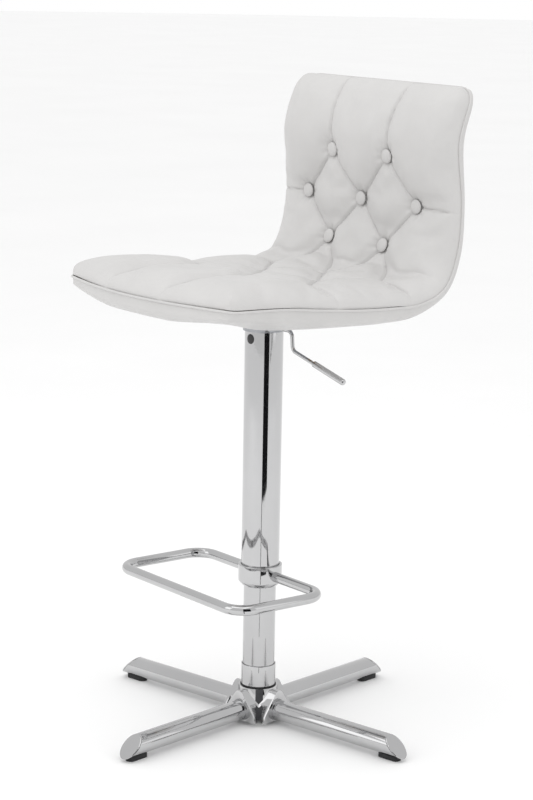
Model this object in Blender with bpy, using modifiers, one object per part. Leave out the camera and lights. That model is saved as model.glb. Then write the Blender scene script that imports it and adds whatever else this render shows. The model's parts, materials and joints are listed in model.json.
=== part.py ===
"""Adjustable swivel stool: four tube legs in a cast hub, a telescopic gas-lift column with a
footrest loop, a release lever and a tufted bucket seat.

Metres, +Z up. The origin is on the floor under the column's axis. The seat faces -Y."""

import math

import bmesh
import bpy
from mathutils import Matrix, Vector

# Driving dimensions.
GAP = 0.0003  # between pieces that touch
CUT = 0.01  # how far a cutter runs past what it cuts

PAD_HEIGHT = 0.0055  # from the floor to the underside of a leg
PAD_LENGTH = 0.040
PAD_WIDTH = 0.016
PAD_WRAP = 0.0022  # how far a pad's flanks rise around the leg
PEG_R = 0.003
PEG_LENGTH = 0.007

LEG_R = 0.016
LEG_WALL = 0.0015
LEG_REACH = 0.2855  # column axis to the middle of a leg's slanted end face
LEG_TURN = math.radians(10.2)  # base's rest angle under the seat
LEG_END_WALL = 0.006
LEG_END_SLANT = math.radians(45)
END_PLATE = 0.0016
PAD_REACH = 0.272

HUB_BOTTOM = 0.006
HUB_FACE = 0.045  # column axis to the face of a leg socket
HUB_RIM = 0.0052  # metal around the column's seat
HUB_CHEEK = 0.0195  # metal beside a leg socket
HUB_CHEEK_LEAN = 0.003
HUB_CHEEK_FOOT = 0.010  # height of the cheek's upright foot
HUB_ARCH_TOP_HALF_WIDTH = 0.0095
HUB_ARCH_DROP = 0.0015  # arch's head under the hub's top
HUB_HOLLOW_R = 0.018
HUB_PLATE = 0.005  # thickness of a socket's face beside the leg
HUB_SOCKET_WALL = 0.005  # metal between a leg and the pocket beside it
HUB_POCKET_CHAMFER = 0.007
HUB_POCKET_DROP = 0.009  # pocket's roof under the hub's top
HUB_ROOF = 0.005  # metal between a leg socket and the column's seat
SOCKET_SPACING = 0.011  # a socket's blind end beyond the flank of the leg beside it
COLUMN_SEAT_DEPTH = 0.012

BOLT_R = 0.004
BOLT_HEAD_R = 0.0062
BOLT_HEAD_LENGTH = 0.005
BOLT_HEAD_FACE = 0.0165
BOLT_KEY_R = 0.003
BOLT_KEY_DEPTH = 0.0035

COLUMN_R = 0.0255
COLUMN_WALL = 0.0018
COLUMN_TOP = 0.400
BASE_PLATE_LIFT = 0.003
BASE_PLATE = 0.006
RING_WALL = 0.0015
RING_LENGTH = 0.0335
GASKET_WIDTH = 0.0027
GASKET = 0.0015
BUSH_LENGTH = 0.060
BUSH_FLANGE = 0.003

ROD_R = 0.006
ROD_NECK_R = 0.005
PISTON_TOP = 0.365
PISTON_LENGTH = 0.020
BEARING_R = 0.011
WASHER = 0.0015
CAGE = 0.003
BUMPER_R = 0.0105
BUMPER_LENGTH = 0.015
CLIP_R = 0.0085
CLIP = 0.0012
ROD_TAIL = 0.010

CYLINDER_R = 0.014
CYLINDER_WALL = 0.002
CYLINDER_BOTTOM = 0.230
CYLINDER_TOP_DROP = 0.0145  # cylinder's top below the lever's axis, less the lever's radius
CYLINDER_END_WALL = 0.012
BUTTON_STEM_R = 0.0035
BUTTON_STEM_LENGTH = 0.040

COVER_WALL = 0.0015
SLEEVE_WALL = 0.0024
COLLAR_WALL = 0.0042
COLLAR_EDGE = 0.001
COLLAR_BOTTOM = 0.220
COLLAR_LENGTH = 0.034
COLLAR_LIP = 0.0092
COLLAR_TAPER = 0.007
COLLAR_TAPER_IN = 0.006
SLEEVE_LENGTH = 0.040
SCREW_R = 0.003

FOOTREST_R = 0.008
FOOTREST_HALF_WIDTH = 0.158
FOOTREST_FRONT = 0.162  # column axis to the front bar's axis
FOOTREST_BACK = 0.004
FOOTREST_CORNER_R = 0.034
FOOTREST_LIFT = 0.018  # loop's axis above the collar's bottom

UNDERSIDE = 0.640  # height of the seat's flat underside
LEVER_R = 0.003
LEVER_DROP = 0.006  # lever's axis below the seat's underside
LEVER_PIVOT_INSET = 0.002  # pivot inside the housing's outer face
LEVER_INNER_END = -0.004
LEVER_ELBOW = 0.069
LEVER_FALL = 0.029
LEVER_ARM = 0.054
LEVER_SLOPE = math.radians(13.6)
LEVER_BEND_R = 0.010
GRIP_R = 0.005
GRIP_LENGTH = 0.074
GRIP_EDGE = 0.0008
GRIP_BLIND = 0.0105  # solid end of the grip past its bore
LEVER_TIP_GAP = 0.0015
LEVER_LEAN = 0.003  # how far the drop after the elbow leans out
PIN_R = 0.0015
PIN_HALF_LENGTH = 0.0095

PLATE = 0.0025
PLATE_RISE = 0.003  # plate's top above the seat's underside, in the opening of its cover
PLATE_LENGTH = 0.170
PLATE_DEPTH = 0.130
PLATE_CORNER_R = 0.012
PLATE_BOLT_PITCH_X = 0.130
PLATE_BOLT_PITCH_Y = 0.100
PLATE_BOLT_R = 0.003
PLATE_BOLT_HEAD_R = 0.0055
PLATE_BOLT_HEAD = 0.0025
PLATE_BOLT_LENGTH = 0.0125
OPENING_MARGIN = 0.008  # from the plate's edge to the opening's edge
HOUSING_OVERHANG = 0.003  # past the cover tube
HOUSING_WALL = 0.0045
HOUSING_FLANGE = 0.0025
HOUSING_MOUTH = 0.002  # around the gas cylinder
LEVER_CLEARANCE = 0.0017  # between the lever and the housing's flange
WINDOW_WIDTH = 0.012
WINDOW_HEIGHT = 0.004
LUG = 0.0025
LUG_GAP = 0.0080
LUG_LENGTH = 0.006  # inwards from the pivot
LUG_PAST_PIN = 0.001
LUG_DROP = 0.004  # below the pivot
SLOT_BITE = 0.0005  # how far the lever's slot cuts into what it meets
WINDOW_DROP = 0.0055  # middle of a window under the plate
SOCKET_WALL = 0.0057
SOCKET_LENGTH = 0.057
SPACER_LENGTH = 0.026
PLUG_TURN = math.radians(-82)
PLUG_DROP = 0.011
PLUG_R = 0.0055
PLUG_HEAD = 0.0015  # head's overhang and its height over the tube
PLUG_BITE = 0.002  # plug's shank past the tube's wall

SEAT_HALF_WIDTH = 0.215  # at the bend, its widest place
FRONT_TAPER = 0.004  # each side, from the bend to the front edge
TOP_TAPER = 0.012  # each side, from the bend to the top edge
FRONT_CORNER_R = 0.016
TOP_CORNER_R = 0.032
FRONT_BOW = 0.030  # middle of the front edge ahead of its corners
BOW_LENGTH = 0.150  # how far back from the front edge the bow fades out
FLAT_HALF_WIDTH = 0.072  # flat middle of the shell, over the mount plate
SEAT_EDGE_SHARE = 0.50  # shell's depth at its sides against its depth in the middle
SEAT_SIDE_CURVE = 1.15  # how late the shell's sides rise, 1 for straight
CUSHION_HEIGHT = 0.033
CUSHION_EDGE_HEIGHT = 0.004
CUSHION_SHOULDER = 0.055
COVER_SKIN = 0.0016
SHELL_SKIN = 0.004
SHELL_LEAN = 0.003  # shell's lower edge inside its seam
PLYWOOD = 0.010
PLYWOOD_INSET = 0.016
LAYER_GAP = 0.0008  # between the curved layers of the seat
COVER_SLACK = 0.0024  # between the foam and its cover
PIPING_R = 0.0019
TUFT_BUTTON_R = 0.0110
TUFT_BUTTON_HEIGHT = 0.0055
TUFT_DEPTH = 0.014
TUFT_SIDE = 0.066  # middle plane to a button of a row of two
TUFT_ROWS = ((0.254, 2), (0.179, 3), (0.106, 2))  # height above the underside, buttons

# The seat seen from its side, front edge to top edge, as (y, height above the underside).
SEAM_LINE = (
    (-0.222, 0.0610),
    (-0.131, 0.0580),
    (-0.062, 0.0515),
    (0.009, 0.0455),
    (0.073, 0.0430),
    (0.131, 0.0445),
    (0.181, 0.066),
    (0.206, 0.121),
    (0.213, 0.190),
    (0.206, 0.277),
    (0.222, 0.330),
    (0.238, 0.362),
)
SHELL_LINE = (
    (-0.229, 0.034),
    (-0.130, 0.0175),
    (-0.064, 0.0020),
    (0.009, 0.000),
    (0.074, 0.000),
    (0.137, 0.008),
    (0.203, 0.046),
    (0.233, 0.108),
    (0.236, 0.192),
    (0.238, 0.277),
    (0.248, 0.320),
    (0.266, 0.366),
)

# Sizes that follow from those above.
LEG_Z = PAD_HEIGHT + GAP + LEG_R
HUB_ARCH_HALF_WIDTH = LEG_R + HUB_CHEEK
HUB_SOCKET_FLOOR = LEG_R + SOCKET_SPACING
COLUMN_SEAT = LEG_Z + LEG_R + GAP + HUB_ROOF
HUB_TOP = COLUMN_SEAT + COLUMN_SEAT_DEPTH
COLUMN_INNER_R = COLUMN_R - COLUMN_WALL
POCKET_TOP = HUB_TOP - HUB_POCKET_DROP
HUB_TOP_R = COLUMN_R + GAP + HUB_RIM
GASKET_R = COLUMN_R + GAP + GASKET_WIDTH
RING_R = COLUMN_R + GAP + RING_WALL
PISTON_R = CYLINDER_R - CYLINDER_WALL - GAP
SOCKET_R = CYLINDER_R + GAP + SOCKET_WALL
COLUMN_BOTTOM = COLUMN_SEAT + GAP
COVER_INNER_R = COLUMN_R + GAP + SLEEVE_WALL + GAP
COVER_R = COVER_INNER_R + COVER_WALL
COLLAR_R = COVER_R + GAP + COLLAR_WALL
HOUSING_R = COVER_R + HOUSING_OVERHANG
HOUSING_MOUTH_R = CYLINDER_R + HOUSING_MOUTH
LEVER_PIVOT = HOUSING_R - LEVER_PIVOT_INSET
GASKET_BOTTOM = HUB_TOP + GAP
RING_BOTTOM = GASKET_BOTTOM + GASKET + GAP
PLATE_SEAT = COLUMN_BOTTOM + BASE_PLATE_LIFT
LOWER_WASHER = PLATE_SEAT + BASE_PLATE + GAP
CAGE_BOTTOM = LOWER_WASHER + WASHER + GAP
UPPER_WASHER = CAGE_BOTTOM + CAGE + GAP
SHOULDER = UPPER_WASHER + WASHER + GAP
CLIP_TOP = PLATE_SEAT - GAP
LEVER_Z = UNDERSIDE - LEVER_DROP
PLATE_TOP = UNDERSIDE + PLATE_RISE
PLATE_BOTTOM = PLATE_TOP - PLATE
HOUSING_BOTTOM = LEVER_Z - LEVER_R - LEVER_CLEARANCE - HOUSING_FLANGE
COVER_TOP = HOUSING_BOTTOM - GAP
COVER_BOTTOM = COLLAR_BOTTOM + COLLAR_LIP + GAP
CYLINDER_TOP = LEVER_Z - LEVER_R - CYLINDER_TOP_DROP
SOCKET_BOTTOM = COVER_TOP - SOCKET_LENGTH
FOOTREST_Z = COLLAR_BOTTOM + FOOTREST_LIFT

EDGE_STEPS = (0.0, 0.007, 0.024)  # rows and columns close to an edge, where the cushion falls away
STEPS = 32
LEG_STEPS = 24
RING_STEPS = 20
SMALL_STEPS = 12

CHROME = ((0.78, 0.78, 0.80), 0.12, 1.0)
STEEL = ((0.55, 0.56, 0.58), 0.35, 1.0)
DARK_STEEL = ((0.12, 0.12, 0.13), 0.45, 0.8)
RUBBER = ((0.02, 0.02, 0.02), 0.85, 0.0)
BLACK_PLASTIC = ((0.03, 0.03, 0.03), 0.5, 0.0)
NYLON = ((0.75, 0.74, 0.70), 0.5, 0.0)
WOOD = ((0.62, 0.45, 0.27), 0.6, 0.0)
FOAM = ((0.85, 0.78, 0.55), 0.9, 0.0)
LEATHERETTE = ((0.84, 0.82, 0.80), 0.5, 0.0)


def clear_scene():
    for obj in list(bpy.data.objects):
        bpy.data.objects.remove(obj, do_unlink=True)


def new_collection(name, hidden=False):
    collection = bpy.data.collections.new(name)
    collection.hide_render = hidden
    bpy.context.scene.collection.children.link(collection)
    return collection


def paint(obj, look):
    """Gives the object a Principled material of its own."""
    colour, roughness, metallic = look
    material = bpy.data.materials.new(obj.name)
    material.use_nodes = True
    shader = material.node_tree.nodes["Principled BSDF"]
    shader.inputs["Base Color"].default_value = (*colour, 1.0)
    shader.inputs["Roughness"].default_value = roughness
    shader.inputs["Metallic"].default_value = metallic
    obj.data.materials.append(material)


def place(name, mesh, look=None):
    """Links a mesh as a part, or as a cutter when it has no look."""
    obj = bpy.data.objects.new(name, mesh)
    if look is None:
        CUTTERS.objects.link(obj)
        obj.hide_render = True
        obj.display_type = "WIRE"
        return obj
    PARTS.objects.link(obj)
    paint(obj, look)
    mesh.shade_smooth()
    mesh.set_sharp_from_angle(angle=math.radians(35))
    return obj


def finish_mesh(name, bm):
    bmesh.ops.recalc_face_normals(bm, faces=bm.faces)
    if bm.calc_volume(signed=True) < 0:
        bmesh.ops.reverse_faces(bm, faces=bm.faces)
    mesh = bpy.data.meshes.new(name)
    bm.to_mesh(mesh)
    bm.free()
    return mesh


def turned(name, profile, look=None, steps=STEPS, ring=True):
    """A profile of (radius, height) turned about Z. It runs down its outer side."""
    mesh = bpy.data.meshes.new(name)
    last = len(profile) - 1
    edges = [(i, i + 1) for i in range(last)]
    if ring:
        edges.append((last, 0))
    mesh.from_pydata([(r, 0.0, z) for r, z in profile], edges, [])
    obj = place(name, mesh, look)
    screw = obj.modifiers.new("Turn", "SCREW")
    screw.steps = steps
    screw.render_steps = steps
    screw.use_merge_vertices = True
    screw.merge_threshold = 0.00001
    screw.use_smooth_shade = True
    return obj


def tube(name, outer, inner, bottom, top, look=None, steps=STEPS):
    profile = ((outer, top), (outer, bottom), (inner, bottom), (inner, top))
    return turned(name, profile, look, steps)


def disc(name, radius, bottom, top, look=None, steps=STEPS):
    profile = ((0, top), (radius, top), (radius, bottom), (0, bottom))
    return turned(name, profile, look, steps, ring=False)


def rod_mesh(name, radius, start, end, segments=SMALL_STEPS):
    """A plain round rod between two points."""
    start, end = Vector(start), Vector(end)
    axis = end - start
    turn = Vector((0, 0, 1)).rotation_difference(axis).to_matrix().to_4x4()
    bm = bmesh.new()
    bmesh.ops.create_cone(
        bm,
        cap_ends=True,
        segments=segments,
        radius1=radius,
        radius2=radius,
        depth=axis.length,
        matrix=Matrix.Translation((start + end) / 2) @ turn,
    )
    return finish_mesh(name, bm)


def rod(name, radius, start, end, look=None, segments=SMALL_STEPS):
    return place(name, rod_mesh(name, radius, start, end, segments), look)


def block(name, low, high, look=None):
    """A box between two corners."""
    low, high = Vector(low), Vector(high)
    size = high - low
    bm = bmesh.new()
    scale = Matrix.Diagonal((size.x, size.y, size.z, 1))
    bmesh.ops.create_cube(bm, size=1, matrix=Matrix.Translation((low + high) / 2) @ scale)
    return place(name, finish_mesh(name, bm), look)


def prism(name, outline, thickness, look=None):
    """A flat outline of (x, y) with thickness along Z about zero, as a mesh object."""
    curve = bpy.data.curves.new(name, "CURVE")
    curve.dimensions = "2D"
    curve.fill_mode = "BOTH"
    curve.extrude = thickness / 2
    spline = curve.splines.new("POLY")
    spline.points.add(len(outline) - 1)
    for point, (x, y) in zip(spline.points, outline):
        point.co = (x, y, 0, 1)
    spline.use_cyclic_u = True
    return curve_object(name, curve, look)


def pipe(name, points, radius, look=None, cyclic=False, resolution=3):
    """A round bar along points, as a mesh object."""
    curve = bpy.data.curves.new(name, "CURVE")
    curve.dimensions = "3D"
    curve.bevel_depth = radius
    curve.bevel_resolution = resolution
    curve.use_fill_caps = not cyclic
    spline = curve.splines.new("POLY")
    spline.points.add(len(points) - 1)
    for point, place_at in zip(spline.points, points):
        point.co = (*place_at, 1)
    spline.use_cyclic_u = cyclic
    return curve_object(name, curve, look)


def curve_object(name, curve, look):
    """The curve as a closed mesh, with its caps welded to its sides."""
    guide = bpy.data.objects.new(name + "_guide", curve)
    bpy.context.scene.collection.objects.link(guide)
    graph = bpy.context.evaluated_depsgraph_get()
    mesh = bpy.data.meshes.new_from_object(guide.evaluated_get(graph))
    bpy.data.objects.remove(guide, do_unlink=True)
    bm = bmesh.new()
    bm.from_mesh(mesh)
    bmesh.ops.remove_doubles(bm, verts=bm.verts, dist=0.00001)
    bpy.data.meshes.remove(mesh)
    return place(name, finish_mesh(name, bm), look)


def combine(target, other, operation="DIFFERENCE"):
    modifier = target.modifiers.new(other.name, "BOOLEAN")
    modifier.operation = operation
    modifier.solver = "EXACT"
    modifier.object = other


def settle(obj):
    """Applies an object's modifiers to its mesh, so that copies can share it."""
    graph = bpy.context.evaluated_depsgraph_get()
    mesh = bpy.data.meshes.new_from_object(obj.evaluated_get(graph))
    obj.modifiers.clear()
    obj.data = mesh


def around_column(first, count, names):
    """Turns the first piece to its place and adds its copies at even angles."""
    for index in range(count):
        piece = first if index == 0 else bpy.data.objects.new(names[index], first.data)
        if index:
            PARTS.objects.link(piece)
        piece.rotation_euler.z = LEG_TURN + index * 2 * math.pi / count


def arc(centre, radius, start, end, steps):
    """Points of an arc in a plane, angles in radians."""
    for step in range(steps + 1):
        angle = start + (end - start) * step / steps
        yield (
            centre[0] + radius * math.cos(angle),
            centre[1] + radius * math.sin(angle),
        )


# Base: hub, legs and feet.


def arch_outline():
    """A leg socket's face: straight flanks that lean in, and a rounded head."""
    head_r = HUB_ARCH_TOP_HALF_WIDTH
    head_z = HUB_TOP - HUB_ARCH_DROP - head_r
    head = arc((0, head_z), head_r, math.radians(30), math.radians(150), 6)
    shoulder_x = HUB_ARCH_HALF_WIDTH - HUB_CHEEK_LEAN
    shoulder_z = HUB_BOTTOM + HUB_CHEEK_FOOT
    return [
        (-HUB_ARCH_HALF_WIDTH, HUB_BOTTOM),
        (HUB_ARCH_HALF_WIDTH, HUB_BOTTOM),
        (shoulder_x, shoulder_z),
        *head,
        (-shoulder_x, shoulder_z),
    ]


def pocket_outline():
    """The open pocket between two leg sockets, with a chamfered inner corner."""
    near = LEG_R + GAP + HUB_SOCKET_WALL
    chamfer = near + HUB_POCKET_CHAMFER
    far = HUB_FACE - HUB_PLATE
    return [(near, chamfer), (chamfer, near), (far, near), (far, far), (near, far)]


def make_hub():
    hub = disc("base_hub", HUB_TOP_R, HUB_BOTTOM, HUB_TOP, CHROME)
    for index in range(2):
        arch = prism(f"hub_arch_{index}", arch_outline(), 2 * HUB_FACE)
        turn = LEG_TURN + index * math.pi / 2
        arch.matrix_world = (
            Matrix.Rotation(turn, 4, "Z")
            @ Matrix.Rotation(math.pi / 2, 4, "Z")
            @ Matrix.Rotation(math.pi / 2, 4, "X")
        )
        combine(hub, arch, "UNION")
    for index in range(4):
        angle = LEG_TURN + index * math.pi / 2
        out = Vector((math.cos(angle), math.sin(angle), 0))
        up = Vector((0, 0, LEG_Z))
        socket = rod(
            f"socket_{index}",
            LEG_R + GAP,
            out * HUB_SOCKET_FLOOR + up,
            out * (HUB_FACE + CUT) + up,
            segments=LEG_STEPS,
        )
        bolt_hole = rod(
            f"bolt_hole_{index}",
            BOLT_R + GAP,
            out * (BOLT_HEAD_FACE - BOLT_HEAD_LENGTH) + up,
            out * (HUB_SOCKET_FLOOR + LEG_END_WALL) + up,
        )
        combine(hub, socket)
        combine(hub, bolt_hole)
    for index in range(4):
        pocket = prism(f"hub_pocket_{index}", pocket_outline(), 2 * POCKET_TOP)
        pocket.matrix_world = Matrix.Rotation(LEG_TURN + index * math.pi / 2, 4, "Z")
        combine(hub, pocket)
    combine(hub, disc("hub_hollow", HUB_HOLLOW_R, HUB_BOTTOM - CUT, COLUMN_SEAT + COLUMN_SEAT_DEPTH / 2))
    combine(hub, disc("column_seat", COLUMN_R + GAP, COLUMN_SEAT, HUB_TOP + CUT))


def slanted_slab(name, low, high):
    """A slab square to a leg's slanted end, between two distances out from its outer face."""
    half = 4 * LEG_R
    slab = block(name, (-half, -half, low), (half, half, high))
    slab.matrix_world = (
        Matrix.Translation((LEG_REACH, 0, LEG_Z)) @ Matrix.Rotation(LEG_END_SLANT, 4, "Y")
    )
    return slab


def make_legs():
    start = HUB_SOCKET_FLOOR + GAP
    end = LEG_REACH + 2 * LEG_R
    leg = rod("leg_1", LEG_R, (start, 0, LEG_Z), (end, 0, LEG_Z), CHROME, segments=LEG_STEPS)
    hollow = rod(
        "leg_hollow",
        LEG_R - LEG_WALL,
        (start + LEG_END_WALL, 0, LEG_Z),
        (end + CUT, 0, LEG_Z),
        segments=LEG_STEPS,
    )
    combine(leg, hollow)
    thread_end = start + 2 * LEG_END_WALL
    combine(leg, rod("leg_thread", BOLT_R + GAP, (start - CUT, 0, LEG_Z), (thread_end, 0, LEG_Z)))
    combine(leg, rod("peg_hole", PEG_R + GAP, (PAD_REACH, 0, 0), (PAD_REACH, 0, LEG_Z)))
    combine(leg, slanted_slab("leg_slant", -END_PLATE - GAP, 4 * LEG_R))
    settle(leg)
    around_column(leg, 4, [f"leg_{i}" for i in range(1, 5)])

    cap_start = LEG_REACH - 3 * LEG_R
    cap = rod("leg_cap_1", LEG_R, (cap_start, 0, LEG_Z), (end, 0, LEG_Z), CHROME, segments=LEG_STEPS)
    combine(cap, slanted_slab("cap_slab", -END_PLATE, 0), "INTERSECT")
    settle(cap)
    around_column(cap, 4, [f"leg_cap_{i}" for i in range(1, 5)])


def make_pads():
    half = PAD_LENGTH / 2
    ends = (PAD_REACH - half + PAD_WIDTH / 2, PAD_REACH + half - PAD_WIDTH / 2)
    right = arc((ends[1], 0), PAD_WIDTH / 2, -math.pi / 2, math.pi / 2, 6)
    left = arc((ends[0], 0), PAD_WIDTH / 2, math.pi / 2, 3 * math.pi / 2, 6)
    height = PAD_HEIGHT + PAD_WRAP
    pad = prism("foot_pad_1", [*right, *left], height, RUBBER)
    pad.data.transform(Matrix.Translation((0, 0, height / 2)))
    saddle_ends = (PAD_REACH - PAD_LENGTH, 0, LEG_Z), (PAD_REACH + PAD_LENGTH, 0, LEG_Z)
    saddle = rod("saddle", LEG_R + GAP, *saddle_ends, segments=LEG_STEPS)
    combine(pad, saddle)
    peg = rod(
        "peg",
        PEG_R,
        (PAD_REACH, 0, PAD_HEIGHT / 2),
        (PAD_REACH, 0, PAD_HEIGHT + PEG_LENGTH - LEG_WALL),
    )
    combine(pad, peg, "UNION")
    settle(pad)
    around_column(pad, 4, [f"foot_pad_{i}" for i in range(1, 5)])


def make_leg_bolts():
    head_start = BOLT_HEAD_FACE - BOLT_HEAD_LENGTH
    tip = HUB_SOCKET_FLOOR + GAP + LEG_END_WALL
    bolt = rod("leg_bolt_1", BOLT_HEAD_R, (head_start, 0, LEG_Z), (BOLT_HEAD_FACE, 0, LEG_Z), STEEL)
    combine(
        bolt,
        rod("bolt_shank", BOLT_R, (head_start + BOLT_KEY_DEPTH, 0, LEG_Z), (tip, 0, LEG_Z)),
        "UNION",
    )
    key_end = (head_start + BOLT_KEY_DEPTH / 2, 0, LEG_Z)
    key = rod("bolt_key", BOLT_KEY_R, (head_start - CUT, 0, LEG_Z), key_end, segments=6)
    combine(bolt, key)
    settle(bolt)
    around_column(bolt, 4, [f"leg_bolt_{i}" for i in range(1, 5)])


# Column: fixed lower tube, bearing, gas spring and the cover that rises with the seat.


def make_fixed_column():
    tube("hub_gasket", GASKET_R, COLUMN_R + GAP, GASKET_BOTTOM, GASKET_BOTTOM + GASKET, RUBBER)
    tube("column_ring", RING_R, COLUMN_R + GAP, RING_BOTTOM, RING_BOTTOM + RING_LENGTH, CHROME)
    tube("lower_tube", COLUMN_R, COLUMN_INNER_R, COLUMN_BOTTOM, COLUMN_TOP, CHROME)
    plate_r = COLUMN_INNER_R - GAP
    neck_hole = ROD_NECK_R + GAP
    tube("column_base_plate", plate_r, neck_hole, PLATE_SEAT, PLATE_SEAT + BASE_PLATE, STEEL)
    bush_r = COLUMN_INNER_R - GAP
    bore_r = CYLINDER_R + GAP
    flange = COLUMN_TOP + GAP
    profile = (
        (COLUMN_R, flange + BUSH_FLANGE),
        (COLUMN_R, flange),
        (bush_r, flange),
        (bush_r, COLUMN_TOP - BUSH_LENGTH),
        (bore_r, COLUMN_TOP - BUSH_LENGTH),
        (bore_r, flange + BUSH_FLANGE),
    )
    turned("guide_bush", profile, NYLON)


def make_bearing():
    hole = ROD_NECK_R + GAP
    tube("bearing_lower_washer", BEARING_R, hole, LOWER_WASHER, LOWER_WASHER + WASHER, STEEL, RING_STEPS)
    tube("bearing_cage", BEARING_R - 0.0005, hole, CAGE_BOTTOM, CAGE_BOTTOM + CAGE, STEEL, RING_STEPS)
    tube("bearing_upper_washer", BEARING_R, hole, UPPER_WASHER, UPPER_WASHER + WASHER, STEEL, RING_STEPS)
    bumper_bottom = SHOULDER + GAP
    tube(
        "rubber_bumper",
        BUMPER_R,
        ROD_R + GAP,
        bumper_bottom,
        bumper_bottom + BUMPER_LENGTH,
        RUBBER,
        RING_STEPS,
    )


def make_rod():
    groove = 0.0008
    profile = (
        (0, PISTON_TOP),
        (PISTON_R, PISTON_TOP),
        (PISTON_R, PISTON_TOP - PISTON_LENGTH),
        (ROD_R, PISTON_TOP - PISTON_LENGTH),
        (ROD_R, SHOULDER),
        (ROD_NECK_R, SHOULDER),
        (ROD_NECK_R, CLIP_TOP + GAP),
        (ROD_NECK_R - groove, CLIP_TOP + GAP),
        (ROD_NECK_R - groove, CLIP_TOP - CLIP - GAP),
        (ROD_NECK_R, CLIP_TOP - CLIP - GAP),
        (ROD_NECK_R, CLIP_TOP - CLIP - ROD_TAIL),
        (0, CLIP_TOP - CLIP - ROD_TAIL),
    )
    turned("piston_rod", profile, STEEL, RING_STEPS, ring=False)
    inner = ROD_NECK_R - groove + GAP
    tube("retaining_clip", CLIP_R, inner, CLIP_TOP - CLIP, CLIP_TOP, DARK_STEEL, RING_STEPS)


def make_cylinder():
    inner = CYLINDER_R - CYLINDER_WALL
    bottom_wall = CYLINDER_BOTTOM + CYLINDER_END_WALL
    stem_hole = BUTTON_STEM_R + GAP
    rod_hole = ROD_R + GAP
    profile = (
        (CYLINDER_R, CYLINDER_TOP),
        (CYLINDER_R, CYLINDER_BOTTOM),
        (rod_hole, CYLINDER_BOTTOM),
        (rod_hole, bottom_wall),
        (inner, bottom_wall),
        (inner, CYLINDER_TOP - CYLINDER_END_WALL),
        (stem_hole, CYLINDER_TOP - CYLINDER_END_WALL),
        (stem_hole, CYLINDER_TOP),
    )
    turned("gas_cylinder", profile, DARK_STEEL, RING_STEPS)
    stem_top = LEVER_Z - LEVER_R - GAP
    disc("release_button", BUTTON_STEM_R, stem_top - BUTTON_STEM_LENGTH, stem_top, STEEL, 16)


def make_cover():
    cover = tube("cover_tube", COVER_R, COVER_INNER_R, COVER_BOTTOM, COVER_TOP, CHROME)
    spacer_r = COVER_INNER_R - GAP
    spacer = tube("cover_spacer", spacer_r, SOCKET_R + GAP, COVER_TOP - SPACER_LENGTH, COVER_TOP, NYLON)
    tube("taper_socket", SOCKET_R, CYLINDER_R + GAP, SOCKET_BOTTOM, COVER_TOP, STEEL, RING_STEPS)
    out = Vector((math.cos(PLUG_TURN), math.sin(PLUG_TURN), 0))
    up = Vector((0, 0, COVER_TOP - PLUG_DROP))
    screw_start = SOCKET_R + 3 * GAP
    screw_end = COVER_INNER_R - PLUG_BITE
    outside = out * (COVER_R + CUT) + up
    hole = rod("cover_hole", PLUG_R + GAP, out * (COVER_INNER_R - COVER_WALL) + up, outside)
    thread = rod("spacer_thread", SCREW_R + GAP, out * (screw_start - GAP) + up, outside)
    pocket = rod("spacer_pocket", PLUG_R + GAP, out * screw_end + up, outside)
    combine(cover, hole)
    combine(spacer, thread)
    combine(spacer, pocket)
    rod("cover_screw", SCREW_R, out * screw_start + up, out * (screw_end - GAP) + up, DARK_STEEL, 16)
    plug_start = screw_end + GAP
    plug = rod("cover_plug", PLUG_R, out * plug_start + up, out * (COVER_R + 0.0002) + up, BLACK_PLASTIC)
    head_start = out * (COVER_R - PLUG_HEAD) + up
    head = rod("plug_head", PLUG_R + PLUG_HEAD, head_start, out * (COVER_R + PLUG_HEAD) + up)
    clear = disc("plug_clear", COVER_R + GAP, COVER_TOP - 2 * PLUG_DROP, COVER_TOP)
    combine(head, clear)
    settle(head)
    combine(plug, head, "UNION")


def make_collar():
    top = COLLAR_BOTTOM + COLLAR_LENGTH
    lip_top = COLLAR_BOTTOM + COLLAR_LIP
    lip_r = COLUMN_R + 3 * GAP
    bore_r = COVER_R + GAP
    profile = (
        (COLLAR_R - COLLAR_EDGE, top),
        (COLLAR_R, top - COLLAR_EDGE),
        (COLLAR_R, COLLAR_BOTTOM + COLLAR_TAPER),
        (COLLAR_R - COLLAR_TAPER_IN, COLLAR_BOTTOM),
        (lip_r, COLLAR_BOTTOM),
        (lip_r, lip_top),
        (bore_r, lip_top),
        (bore_r, top),
    )
    collar = turned("footrest_collar", profile, CHROME)
    sleeve_bottom = lip_top + GAP
    tube(
        "glide_sleeve",
        COVER_INNER_R - GAP,
        COLUMN_R + GAP,
        sleeve_bottom,
        sleeve_bottom + SLEEVE_LENGTH,
        NYLON,
    )
    screw_z = FOOTREST_Z + 2 * SCREW_R
    inner = (0, COVER_R + GAP, screw_z)
    outside = (0, COLLAR_R + CUT, screw_z)
    thread = rod("collar_thread", SCREW_R + GAP, (0, COVER_R - COLLAR_EDGE, screw_z), outside)
    combine(collar, thread)
    rod("collar_screw", SCREW_R, inner, (0, COLLAR_R - GAP, screw_z), DARK_STEEL, 16)


def footrest_path():
    """Half of the loop's axis, from the collar's side to the middle of the front bar."""
    side = FOOTREST_HALF_WIDTH - FOOTREST_CORNER_R
    back = FOOTREST_BACK - FOOTREST_CORNER_R
    front = -FOOTREST_FRONT + FOOTREST_CORNER_R
    right = [
        (COLLAR_R - COLLAR_TAPER_IN, FOOTREST_BACK),
        *arc((side, back), FOOTREST_CORNER_R, math.pi / 2, 0, 6),
        *arc((side, front), FOOTREST_CORNER_R, 0, -math.pi / 2, 6),
    ]
    left = [(-x, y) for x, y in reversed(right)]
    return [(x, y, FOOTREST_Z) for x, y in right + left]


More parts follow.
